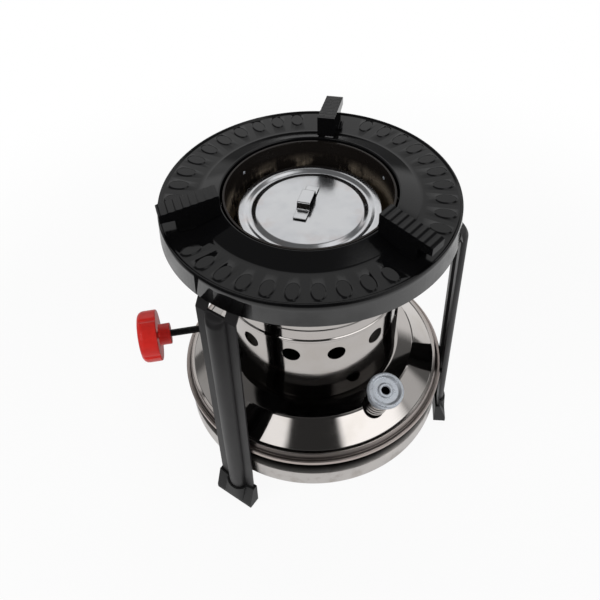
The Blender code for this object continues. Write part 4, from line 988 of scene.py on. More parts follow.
class STOVE_OT_tank_top(bpy.types.Operator):
    """Model the tank's bright dome with its folded seam and pressed beads"""

    bl_idname = "stove.tank_top"
    bl_label = "Tank Top"

    def execute(self, context):
        sheet = context.scene.stove_sizes.sheet
        seam_top = SEAM_LOW + SEAM_DEPTH
        groove = TANK_RADIUS - SEAM_ROUND
        bead = groove - BEAD_INSET
        crease = seam_top + CREASE_RISE
        corners = [
            (TANK_RADIUS - SEAM_LIP, SEAM_LOW),
            (TANK_RADIUS, SEAM_LOW, SEAM_ROLL),
            (TANK_RADIUS, seam_top, SEAM_ROLL),
            (groove, seam_top - SEAM_GROOVE, BEAD_BEND / 2),
            (bead, seam_top + BEAD_RISE, BEAD_BEND),
            (bead - BEAD_WIDTH, seam_top + BEAD_RISE, BEAD_BEND),
            (CREASE_RADIUS + CREASE_WIDTH, crease - CREASE_LIP, CREASE_WIDTH),
            (CREASE_RADIUS, crease + CREASE_LIP, CREASE_WIDTH),
            (SHOULDER_RADIUS, CROWN_TOP, SHOULDER_BEND),
            (TANK_MOUTH_RADIUS, CROWN_TOP),
        ]
        top = thicken(spun("bright_tank_top", corners), sheet)
        model = duplicate_of(top)
        hole = cylinder(NECK_RADIUS + GAP, -NECK_BELOW - OVERRUN, NECK_BELOW + OVERRUN, matrix=filler_matrix())
        complete(cut(top, hole), "bright_steel", "stove", "tank_top")
        keep_normals(top, model)
        return {"FINISHED"}


class STOVE_OT_filler(bpy.types.Operator):
    """Model the slanted filler neck, its screw cap and its rubber seal"""

    bl_idname = "stove.filler"
    bl_label = "Filler"

    def execute(self, context):
        matrix = filler_matrix()
        corners = [(NECK_BORE_RADIUS, -NECK_BELOW), (NECK_RADIUS, -NECK_BELOW)]
        for ring in range(NECK_RING_COUNT):
            low = NECK_RING_PITCH * (ring + 1)
            corners += [
                (NECK_RADIUS, low - NECK_RING * 2, NECK_RING),
                (NECK_RADIUS + NECK_RING, low, NECK_RING),
                (NECK_RADIUS, low + NECK_RING * 2, NECK_RING),
            ]
        corners += [(NECK_RADIUS, NECK_LENGTH), (NECK_BORE_RADIUS, NECK_LENGTH)]
        neck = spun("filler_tube", corners, SMALL_STEPS, closed=True)
        complete(carried(neck, matrix), "bright_steel", "stove", "filler_neck")
        cap = complete(carried(self.cap(), matrix), "zinc", "cap", "filler_cap")
        gasket = complete(carried(self.gasket(), matrix), "rubber", "cap_seal", "cap_gasket")
        for item in (neck, cap, gasket):
            item.visible_glossy = False
        return {"FINISHED"}

    def gasket(self):
        low = NECK_LENGTH + GAP
        high = low + GASKET_THICKNESS
        corners = [
            (GASKET_BORE_RADIUS, low, GAP),
            (NECK_RADIUS, low, GAP),
            (NECK_RADIUS, high, GAP),
            (GASKET_BORE_RADIUS, high, GAP),
        ]
        return spun("cap_seal_ring", corners, SMALL_STEPS, closed=True)

    def cap(self):
        socket = NECK_RADIUS + GAP
        ceiling = NECK_LENGTH + CAP_SEAT
        face = ceiling + CAP_CEILING
        rim_top = face + CAP_DISH
        rim_low = rim_top - CAP_RIM_DEPTH
        skirt = socket + CAP_SKIRT_WALL
        skirt_low = rim_low - CAP_SKIRT_LENGTH
        inner_rim = CAP_RADIUS - CAP_RIM_ROUND * 2
        corners = [
            (CAP_HOLE_RADIUS, ceiling),
            (CAP_HOLE_RADIUS, face + CAP_HUB_RISE, CAP_HUB_RISE / 2),
            (CAP_HUB_RADIUS, face + CAP_HUB_RISE, CAP_HUB_RISE),
            (CAP_HUB_RADIUS + CAP_HUB_RISE, face, CAP_HUB_RISE),
            (inner_rim - CAP_DISH, face, CAP_DISH),
            (inner_rim, rim_top, CAP_RIM_ROUND),
            (CAP_RADIUS, rim_top, CAP_RIM_ROUND),
            (CAP_RADIUS, rim_low, CAP_RIM_ROUND),
            (skirt, rim_low, GAP),
        ]
        threads = int(CAP_SKIRT_LENGTH / CAP_THREAD_PITCH)
        for thread in range(threads):
            middle = rim_low - CAP_THREAD_PITCH * (thread + 1 / 2)
            corners += [
                (skirt, middle + CAP_THREAD_PITCH / 4, CAP_THREAD_DEPTH),
                (skirt - CAP_THREAD_DEPTH, middle, CAP_THREAD_DEPTH),
                (skirt, middle - CAP_THREAD_PITCH / 4, CAP_THREAD_DEPTH),
            ]
        corners += [(skirt, skirt_low, GAP), (socket, skirt_low), (socket, ceiling)]
        return spun("screw_cap", corners, SMALL_STEPS, closed=True)


class STOVE_OT_casing(bpy.types.Operator):
    """Model the bright casing with its beads and round air holes"""

    bl_idname = "stove.casing"
    bl_label = "Casing"

    def execute(self, context):
        sizes = context.scene.stove_sizes
        radius = sizes.casing_radius
        bead_top = CASING_BEAD_LOW + CASING_BEAD_HEIGHT
        corners = [
            (radius - CASING_FLANGE, CASING_LOW),
            (radius, CASING_LOW, CASING_CORNER),
            (radius, CASING_BEAD_LOW, CASING_BEAD_BEND),
            (radius + CASING_BEAD, CASING_BEAD_LOW + CASING_BEAD, CASING_BEAD_BEND),
            (radius + CASING_BEAD, bead_top - CASING_BEAD, CASING_BEAD_BEND),
            (radius, bead_top, CASING_BEAD_BEND),
            (radius, CASING_RIB_LOW, CASING_RIB),
            (radius + CASING_RIB, CASING_RIB_LOW + CASING_RIB_HEIGHT / 2, CASING_RIB),
            (radius, CASING_RIB_LOW + CASING_RIB_HEIGHT, CASING_RIB),
            (radius, CASING_TOP),
        ]
        casing = thicken(spun("bright_casing", corners), sizes.sheet)
        model = duplicate_of(casing)
        low = radius - sizes.sheet - OVERRUN
        place = radial(AIR_HOLE_ANGLE, AIR_HOLE_HEIGHT)
        holes = ring_of(cylinder(sizes.air_hole_radius, low, radius + OVERRUN, matrix=place), AIR_HOLE_COUNT)
        rod_hole = cylinder(BUSH_RADIUS + GAP, low, radius + OVERRUN, matrix=radial(math.pi, SHAFT_HEIGHT))
        complete(cut(casing, gather([holes, rod_hole])), "bright_steel", "stove", "outer_casing")
        keep_normals(casing, model)
        return {"FINISHED"}


class STOVE_OT_top_plate(bpy.types.Operator):
    """Model the black top plate with its raised middle, rim, skirt and ovals"""

    bl_idname = "stove.top_plate"
    bl_label = "Top Plate"

    def execute(self, context):
        sizes = context.scene.stove_sizes
        corners = [
            (PLATE_HOLE_RADIUS, PLATE_HOLE_TOP - PLATE_LIP_DEPTH),
            (PLATE_HOLE_RADIUS, PLATE_HOLE_TOP, sizes.plate_sheet),
            (PLATE_CONE_RADIUS, PLATE_BAND_TOP, PLATE_CONE_BEND),
            (PLATE_BAND_RADIUS, PLATE_BAND_TOP, PLATE_RIM_BEND),
            (PLATE_RIM_RADIUS - PLATE_RIM_RISE, PLATE_BAND_TOP + PLATE_RIM_RISE, PLATE_RIM_BEND),
            (PLATE_RIM_RADIUS, PLATE_BAND_TOP + PLATE_RIM_RISE, PLATE_RIM_BEND),
            (SKIRT_RADIUS, PLATE_LOW),
        ]
        plate = thicken(spun("enamel_plate", corners), sizes.plate_sheet)
        pads = []
        for group in angles_round(OVAL_GROUP_COUNT, OVAL_GROUP_ANGLE):
            for index in range(OVAL_COUNT):
                angle = group + (index - (OVAL_COUNT - 1) / 2) * OVAL_PITCH_ANGLE
                pads.append(self.pad(sizes, angle))
        pads = gather(pads)
        model = gather([duplicate_of(plate), duplicate_of(pads)])
        cut(plate, pads, "UNION")
        complete(plate, "black_enamel", "stove", "top_plate")
        keep_normals(plate, model)
        return {"FINISHED"}

    def pad(self, sizes, angle):
        """One oval: a disc that is extruded up in narrowing rings."""
        sunk = sizes.plate_sheet / 2
        deselect_all()
        bpy.ops.mesh.primitive_circle_add(
            vertices=OVAL_STEPS, radius=1, fill_type="NGON", location=(0, 0, PLATE_BAND_TOP - sunk)
        )
        pad = bpy.context.object
        pad.scale = (OVAL_LENGTH / 2, OVAL_WIDTH / 2, 1)
        bpy.ops.object.transform_apply(location=True, rotation=True, scale=True)
        edit(pad)
        height = -sunk
        inset = 0
        for inset_share, rise_share in OVAL_FLANK_SHARES:
            rise = sizes.oval_rise * rise_share - height
            bpy.ops.mesh.extrude_region_move(TRANSFORM_OT_translate={"value": (0, 0, rise)})
            length_scale = (OVAL_LENGTH / 2 - OVAL_FLANK * inset_share) / (OVAL_LENGTH / 2 - inset)
            width_scale = (OVAL_WIDTH / 2 - OVAL_FLANK * inset_share) / (OVAL_WIDTH / 2 - inset)
            bpy.ops.transform.resize(value=(length_scale, width_scale, 1), center_override=(0, 0, 0))
            height += rise
            inset = OVAL_FLANK * inset_share
        close_up()
        return carried(pad, Matrix.Rotation(angle, 4, "Z") @ Matrix.Translation((OVAL_RADIUS, 0, 0)))


class STOVE_OT_pot_rests(bpy.types.Operator):
    """Model the folded pot rests with their cross ribs and foot tabs"""

    bl_idname = "stove.pot_rests"
    bl_label = "Pot Rests"

    def execute(self, context):
        sizes = context.scene.stove_sizes
        seat = PLATE_BAND_TOP + GAP
        half = REST_WIDTH / 2
        outline = [Vector((radius, -half, height)) for radius, height in self.side(seat, sizes.rib_rise)]
        rest = slab("pot_rest", outline, (0, REST_WIDTH, 0))
        tab_half = half + REST_TAB_WIDTH
        tab_low = (REST_FOOT_RADIUS - REST_TAB_LENGTH, -tab_half, seat)
        cut(rest, block(tab_low, (REST_FOOT_RADIUS - GAP, tab_half, seat + REST_TAB_THICKNESS)), "UNION")
        inner = REST_INNER_RADIUS + LEG_SHEET
        outer = REST_OUTER_RADIUS - LEG_SHEET
        hollow = [
            Vector((inner, LEG_SHEET - half, seat - OVERRUN)),
            Vector((outer, LEG_SHEET - half, seat - OVERRUN)),
            Vector((outer, LEG_SHEET - half, rest_height(outer) - LEG_SHEET)),
            Vector((inner, LEG_SHEET - half, rest_height(inner) - LEG_SHEET)),
        ]
        cut(rest, slab("pocket", hollow, (0, REST_WIDTH - LEG_SHEET * 2, 0)))
        soften(rest)
        for number, item in enumerate(turned_copies(rest, "folded_pot_rest", REST_COUNT, REST_ANGLE), 1):
            complete(item, "black_enamel", "stove", f"pot_rest_{number}")
        return {"FINISHED"}

    def side(self, seat, rise):
        """The rest's outline seen from its side, as (radius, height)."""
        end_low = REST_OUTER_TOP - REST_END_DEPTH
        points = [
            (REST_INNER_RADIUS, cone_height(REST_INNER_RADIUS) + GAP * 2),
            (PLATE_CONE_RADIUS, seat + GAP * 2),
            (PLATE_CONE_RADIUS + LEG_SHEET, seat),
            (REST_FOOT_RADIUS, seat),
            (REST_FOOT_RADIUS, end_low),
            (REST_OUTER_RADIUS, end_low),
            (REST_OUTER_RADIUS, REST_OUTER_TOP),
        ]
        pitch = (REST_OUTER_RADIUS - REST_INNER_RADIUS) / REST_RIB_COUNT
        for index in range(REST_RIB_COUNT):
            middle = REST_OUTER_RADIUS - pitch * (index + 1 / 2)
            for step in range(RIB_STEPS + 1):
                share = step / RIB_STEPS - 1 / 2
                radius = middle - share * REST_RIB_WIDTH
                points.append((radius, rest_height(radius) + rise * math.cos(math.pi * share) ** 2))
        return points + [(REST_INNER_RADIUS, rest_height(REST_INNER_RADIUS))]


class STOVE_OT_legs(bpy.types.Operator):
    """Model the pressed legs with their round ribs, arches and tabs"""

    bl_idname = "stove.legs"
    bl_label = "Legs"

    def execute(self, context):
        sizes = context.scene.stove_sizes
        width = sizes.leg_width
        face = math.sqrt((PLATE_RIM_RADIUS - sizes.plate_sheet - GAP) ** 2 - (width / 2) ** 2)
        tongue = face - GAP
        tab_top = PLATE_BAND_TOP - sizes.plate_sheet - GAP - NUT_HEIGHT - GAP
        leg = self.channel(width, tongue, tab_top)
        arch_low = LEG_RIB_TOP + LEG_ARCH_LOW
        back = tongue - LEG_SHEET - OVERRUN
        arch_round = LEG_ARCH_HEIGHT / 2
        half = LEG_ARCH_WIDTH / 2
        corners = [
            (-half, arch_low),
            (half, arch_low),
            (half, arch_low + LEG_ARCH_HEIGHT, arch_round),
            (-half, arch_low + LEG_ARCH_HEIGHT, arch_round),
        ]
        outline = [Vector((back, point.x, point.z)) for point in bent(corners, closed=True)]
        cut(leg, slab("arch", outline, (leg_back(arch_low) + LEG_SHEET + OVERRUN - back, 0, 0)))
        hole = cylinder(SCREW_HOLE_RADIUS, tab_top - LEG_SHEET - OVERRUN, tab_top + OVERRUN)
        cut(leg, carried(hole, Matrix.Translation((SCREW_PLACE_RADIUS, 0, 0))))
        tab_high = SEAM_LOW - GAP
        back = leg_back(tab_high - LEG_SHEET)
        for side in (-1, 1):
            low = side * TANK_TAB_PLACE - TANK_TAB_WIDTH / 2
            tab_low = (back - TANK_TAB_REACH, low, tab_high - LEG_SHEET)
            cut(leg, block(tab_low, (back + LEG_SHEET / 2, low + TANK_TAB_WIDTH, tab_high)), "UNION")
        soften(leg)
        for number, item in enumerate(turned_copies(leg, "pressed_leg", LEG_COUNT, LEG_ANGLE), 1):
            complete(item, "leg_paint", "stove", f"leg_{number}")
        return {"FINISHED"}

    def channel(self, width, tongue, tab_top):
        """A grid, bent to a channel whose front face runs along a line of (place, height)."""
        front = LEG_SHEET
        line = [(leg_back(FLOOR + FOOT_SOLE + GAP) + front, FLOOR + FOOT_SOLE + GAP, 1.0)]
        for step in range(9):
            drop = LEG_SHOULDER * (1 - step / 8)
            share = math.sqrt(max(0.0, 1 - (step / 8) ** 2))
            height = LEG_RIB_TOP - drop
            line.append((leg_back(height) + front, height, share))
        line.append((tongue, PLATE_LOW, 0.0))
        line.append((tongue, PLATE_LOW + LEG_TONGUE_RISE, 0.0))
        centre = (tongue - LEG_BEND, tab_top - LEG_BEND)
        for step in range(7):
            angle = math.pi / 2 * step / 6
            line.append((centre[0] + LEG_BEND * math.cos(angle), centre[1] + LEG_BEND * math.sin(angle), 0.0))
        line.append((LEG_TAB_INNER_RADIUS, tab_top, 0.0))
        deselect_all()
        bpy.ops.mesh.primitive_grid_add(x_subdivisions=LEG_COLUMNS, y_subdivisions=len(line) - 1, size=2)
        leg = bpy.context.object
        half_rib = LEG_RIB_WIDTH / 2
        for corner in leg.data.vertices:
            across = corner.co.x * width / 2
            place, height, share = line[round((corner.co.y + 1) / 2 * (len(line) - 1))]
            rise = LEG_RIB_RISE * share * math.sqrt(max(0.0, 1 - (across / half_rib) ** 2))
            corner.co = (place + rise, across, height)
        edit(leg)
        bpy.ops.mesh.normals_make_consistent(inside=False)
        bpy.ops.object.mode_set(mode="OBJECT")
        if leg.data.polygons[0].normal.x < 0:
            edit(leg)
            bpy.ops.mesh.flip_normals()
            bpy.ops.object.mode_set(mode="OBJECT")
        return thicken(leg, LEG_SHEET)


class STOVE_OT_feet(bpy.types.Operator):
    """Model the moulded feet with their wavy collars and wedge soles"""

    bl_idname = "stove.feet"
    bl_label = "Feet"

    def execute(self, context):
        sizes = context.scene.stove_sizes
        foot = self.boot(sizes)
        hollow = self.envelope(sizes, GAP, FLOOR + FOOT_SOLE, FLOOR + sizes.foot_height + FOOT_EAR_RISE + OVERRUN)
        cut(foot, hollow)
        soften(foot, FOOT_ROUND / 2, 3)
        for number, item in enumerate(turned_copies(foot, "moulded_foot", LEG_COUNT, LEG_ANGLE), 1):
            complete(item, "black_plastic", "stove", f"foot_{number}")
        return {"FINISHED"}

    def section(self, sizes, margin):
        """The leg's filled section as (outwards, across), grown by a margin."""
        half = sizes.leg_width / 2 + margin
        rib = LEG_RIB_WIDTH / 2 + margin
        points = [(-margin, half), (LEG_SHEET + margin, half)]
        for step in range(19):
            angle = math.pi * step / 18
            points.append((LEG_SHEET + margin + LEG_RIB_RISE * math.sin(angle), rib * math.cos(angle)))
        return points + [(LEG_SHEET + margin, -half), (-margin, -half)]

    def envelope(self, sizes, margin, low, high):
        outline = [Vector((leg_back(low) + outwards, across, low)) for outwards, across in self.section(sizes, margin)]
        return slab("hollow", outline, (leg_back(high) - leg_back(low), 0, high - low))

    def boot(self, sizes):
        margin = GAP + FOOT_WALL
        outline = self.section(sizes, margin)
        front = LEG_SHEET + margin + LEG_RIB_RISE
        base = [Vector((leg_back(FLOOR) + (front if out > 0 else out), across, FLOOR)) for out, across in outline]
        foot = trace("foot", base, closed=True)
        bpy.ops.mesh.edge_face_add()
        rise = FOOT_SOLE_HEIGHT
        lean = leg_back(FLOOR + rise) - leg_back(FLOOR)
        bpy.ops.mesh.extrude_region_move(TRANSFORM_OT_translate={"value": (lean, 0, rise)})
        top = sizes.foot_height - rise
        lean = leg_back(FLOOR + sizes.foot_height) - leg_back(FLOOR + rise)
        bpy.ops.mesh.extrude_region_move(TRANSFORM_OT_translate={"value": (lean, 0, top)})
        close_up()
        pick(foot)
        bpy.ops.object.transform_apply(location=True, rotation=True, scale=True)
        self.shape_collar(sizes, foot, outline)
        return foot

    def shape_collar(self, sizes, foot, outline):
        """Fit the upper ring to the leg's section, and let it dip in the middle."""
        level = FLOOR + sizes.foot_height
        half = sizes.leg_width / 2
        for corner in foot.data.vertices:
            if corner.co.z < level - GAP:
                continue
            across = corner.co.y
            nearest = min(outline, key=lambda point: abs(point[1] - across) + (0 if point[0] > 0 else 1))
            if corner.co.x > leg_back(level):
                corner.co.x = leg_back(level) + nearest[0]
            share = min(1.0, abs(across) / half)
            corner.co.z = level + FOOT_EAR_RISE * share**6 - FOOT_DIP * math.cos(share * math.pi / 2) ** 2
        foot.data.update()


class STOVE_OT_sleeves(bpy.types.Operator):
    """Model the wind sleeve and the perforated flame sleeves"""

    bl_idname = "stove.sleeves"
    bl_label = "Sleeves"

    def execute(self, context):
        sizes = context.scene.stove_sizes
        self.wind_sleeve(sizes)
        corners = [(OUTER_SLEEVE_RADIUS, FLAME_LOW), (OUTER_SLEEVE_RADIUS, FLAME_TOP)]
        outer = thicken(spun("outer_sleeve", corners), THIN_SHEET)
        self.perforate(outer, OUTER_SLEEVE_RADIUS, OUTER_PERFORATIONS)
        complete(outer, "heated_steel", "flame_sleeves", "outer_flame_sleeve")
        corners = [
            (INNER_SLEEVE_RADIUS, FLAME_LOW),
            (INNER_SLEEVE_RADIUS, INNER_FLAME_TOP, THIN_SHEET * 2),
            (0, INNER_FLAME_TOP),
        ]
        inner = thicken(spun("inner_sleeve", corners), THIN_SHEET)
        self.perforate(inner, INNER_SLEEVE_RADIUS, INNER_PERFORATIONS)
        complete(inner, "heated_steel", "flame_sleeves", "inner_flame_sleeve")
        return {"FINISHED"}

    def wind_sleeve(self, sizes):
        rim_low = SLEEVE_TOP - WIND_SLEEVE_RIM_HEIGHT
        corners = [
            (WIND_SLEEVE_RADIUS, SLEEVE_LOW),
            (WIND_SLEEVE_RADIUS, rim_low, WIND_SLEEVE_RIM),
            (WIND_SLEEVE_RADIUS + WIND_SLEEVE_RIM, rim_low + WIND_SLEEVE_RIM_HEIGHT / 2, WIND_SLEEVE_RIM),
            (WIND_SLEEVE_RADIUS + WIND_SLEEVE_RIM, SLEEVE_TOP, WIND_SLEEVE_RIM / 2),
            (WIND_SLEEVE_RADIUS - sizes.sheet, SLEEVE_TOP),
        ]
        sleeve = spun("browned_wind_sleeve", corners)
        thicken(sleeve, sizes.sheet / 2)
        complete(sleeve, "heated_steel", "stove", "wind_sleeve")
        rivets = []
        for angle in angles_round(RIVET_COUNT, RIVET_ANGLE):
            deselect_all()
            bpy.ops.mesh.primitive_uv_sphere_add(segments=20, ring_count=12, radius=RIVET_RADIUS)
            rivet = bpy.context.object
            place = radial(angle, SLEEVE_TOP - RIVET_DROP) @ Matrix.Translation((0, 0, WIND_SLEEVE_RADIUS - sizes.sheet / 2))
            rivets.append(carried(rivet, place @ Matrix.Diagonal((1, 1, 0.5, 1))))
        item = gather(rivets)
        item.name = "sleeve_rivets"
        complete(item, "zinc", "stove")

    def perforate(self, sleeve, radius, count):
        """Rows of small round holes, each row turned by half a pitch."""
        pitch = (FLAME_TOP - FLAME_LOW) / (PERFORATION_ROWS + 2)
        rows = []
        for row in range(PERFORATION_ROWS):
            place = radial(math.pi / count * (row % 2), FLAME_LOW + pitch * (row + 1))
            tool = cylinder(PERFORATION_RADIUS, radius - OVERRUN, radius + OVERRUN, PERFORATION_STEPS, place)
            rows.append(ring_of(tool, count))
        cut(sleeve, gather(rows))


class STOVE_OT_lid(bpy.types.Operator):
    """Model the loose burner lid and its strap handle"""

    bl_idname = "stove.lid"
    bl_label = "Burner Lid"

    def execute(self, context):
        sizes = context.scene.stove_sizes
        corners = [(0, LID_TOP)]
        for step in range(LID_GROOVE_STEPS + 1):
            share = step / LID_GROOVE_STEPS
            drop = LID_GROOVE_DEPTH * math.sin(math.pi * share) ** 2
            corners.append((LID_GROOVE_INNER + (LID_GROOVE_OUTER - LID_GROOVE_INNER) * share, LID_TOP - drop))
        corners += [
            (LID_RADIUS, LID_TOP, LID_CORNER),
            (LID_RADIUS, LID_TOP - LID_EDGE_DEPTH),
        ]
        complete(thicken(spun("satin_lid", corners), sizes.sheet), "lid_steel", "lid", "burner_lid")
        complete(self.strap(), "lid_steel", "lid", "lid_handle")
        return {"FINISHED"}

    def strap(self):
        """A bent strap with a flat foot at each end."""
        half = HANDLE_LENGTH / 2
        foot = half - HANDLE_FOOT
        seat = LID_TOP + GAP + HANDLE_SHEET
        arch = seat + HANDLE_CLEARANCE
        corners = [
            (-half, seat),
            (-foot, seat, HANDLE_BEND),
            (-foot + HANDLE_SLOPE, arch, HANDLE_BEND),
            (foot - HANDLE_SLOPE, arch, HANDLE_BEND),
            (foot, seat, HANDLE_BEND),
            (half, seat),
        ]
        path = [Vector((point.x, -HANDLE_WIDTH / 2, point.z)) for point in bent(corners)]
        strap = trace("strap_handle", path)
        bpy.ops.mesh.extrude_region_move(TRANSFORM_OT_translate={"value": (0, HANDLE_WIDTH, 0)})
        close_up()
        pick(strap)
        bpy.ops.object.transform_apply(location=True, rotation=True, scale=True)
        if strap.data.polygons[0].normal.z < 0:
            edit(strap)
            bpy.ops.mesh.flip_normals()
            bpy.ops.object.mode_set(mode="OBJECT")
        thicken(strap, HANDLE_SHEET)
        soften(strap, HANDLE_EDGE, 3)
        turn = Matrix.Translation(HANDLE_PLACE) @ Matrix.Rotation(HANDLE_ANGLE, 4, "Z")
        return carried(strap, turn)


class STOVE_OT_control(bpy.types.Operator):
    """Model the red knob, its black rod and the bush in the casing"""

    bl_idname = "stove.control"
    bl_label = "Control"

    def execute(self, context):
        # Along the rod's own +Z, out to the knob
        out = Matrix(((0, 0, -1, 0), (1, 0, 0, 0), (0, -1, 0, SHAFT_HEIGHT), (0, 0, 0, 1)))
        rod = spun(
            "control_rod",
            [
                (0, -SHAFT_INNER_END),
                (SHAFT_RADIUS, -SHAFT_INNER_END, SHAFT_RADIUS / 5),
                (SHAFT_RADIUS, SHAFT_OUTER_END, SHAFT_RADIUS / 5),
                (0, SHAFT_OUTER_END),
            ],
            SMALL_STEPS,
        )
        complete(carried(rod, out), "black_rod", "control", "control_shaft")
        complete(carried(self.bush(context.scene.stove_sizes), out), "black_rod", "stove", "shaft_bush")
        knob = carried(self.knob(context.scene.stove_sizes), out)
        complete(knob, "red_plastic", "control", "control_knob")
        knob.visible_glossy = False
        return {"FINISHED"}

    def bush(self, sizes):
        bore = SHAFT_RADIUS + GAP
        seat = sizes.casing_radius + GAP
        flange = seat + BUSH_FLANGE_THICKNESS
        corners = [
            (bore, seat - BUSH_INNER_LENGTH),
            (BUSH_RADIUS, seat - BUSH_INNER_LENGTH),
            (BUSH_RADIUS, seat),
            (BUSH_FLANGE_RADIUS, seat, GAP),
            (BUSH_FLANGE_RADIUS, flange, GAP),
            (BUSH_RADIUS, flange, GAP),
            (BUSH_RADIUS - BUSH_NOSE / 2, flange + BUSH_NOSE, GAP),
            (bore, flange + BUSH_NOSE),
        ]
        return spun("rod_bush", corners, SMALL_STEPS, closed=True)

    def knob(self, sizes):
        back = KNOB_BACK + KNOB_HUB_LENGTH
        bore = SHAFT_RADIUS + GAP
        radius = sizes.knob_radius
        corners = [
            (0, SHAFT_OUTER_END + GAP),
            (bore, SHAFT_OUTER_END + GAP),
            (bore, KNOB_BACK, GAP),
            (KNOB_HUB_RADIUS, KNOB_BACK, KNOB_BACK_CORNER / 2),
            (KNOB_HUB_RADIUS, back, KNOB_BACK_CORNER),
            (radius, back, KNOB_BACK_CORNER),
            (radius, KNOB_FACE - KNOB_CROWN, KNOB_FRONT_ROUND),
            (0, KNOB_FACE),
        ]
        knob = spun("red_knob", corners, ROUND_STEPS)
        reach = radius - FLUTE_DEPTH + FLUTE_RADIUS
        flutes = []
        for angle in angles_round(FLUTE_COUNT, FLUTE_ANGLE):
            place = Matrix.Rotation(angle, 4, "Z") @ Matrix.Translation((reach, 0, 0))
            flutes.append(cylinder(FLUTE_RADIUS, back - OVERRUN, KNOB_FACE + OVERRUN, matrix=place))
        cut(knob, gather(flutes))
        return soften(knob, FLUTE_ROUND, 3)


class STOVE_OT_inner_parts(bpy.types.Operator):
    """Finish the pieces that keep the model's own solids"""

    bl_idname = "stove.inner_parts"
    bl_label = "Inner Parts"

    def execute(self, context):
        slots = {entry["node"]: entry["material_slot"] for entry in frame["record"]["subparts"]}
        for name, node in frame["nodes"].items():
            material = finish_named(slots[name])
            if not node.data.materials:
                node.data.materials.append(material)
            for slot in node.material_slots:
                slot.material = material
        return {"FINISHED"}


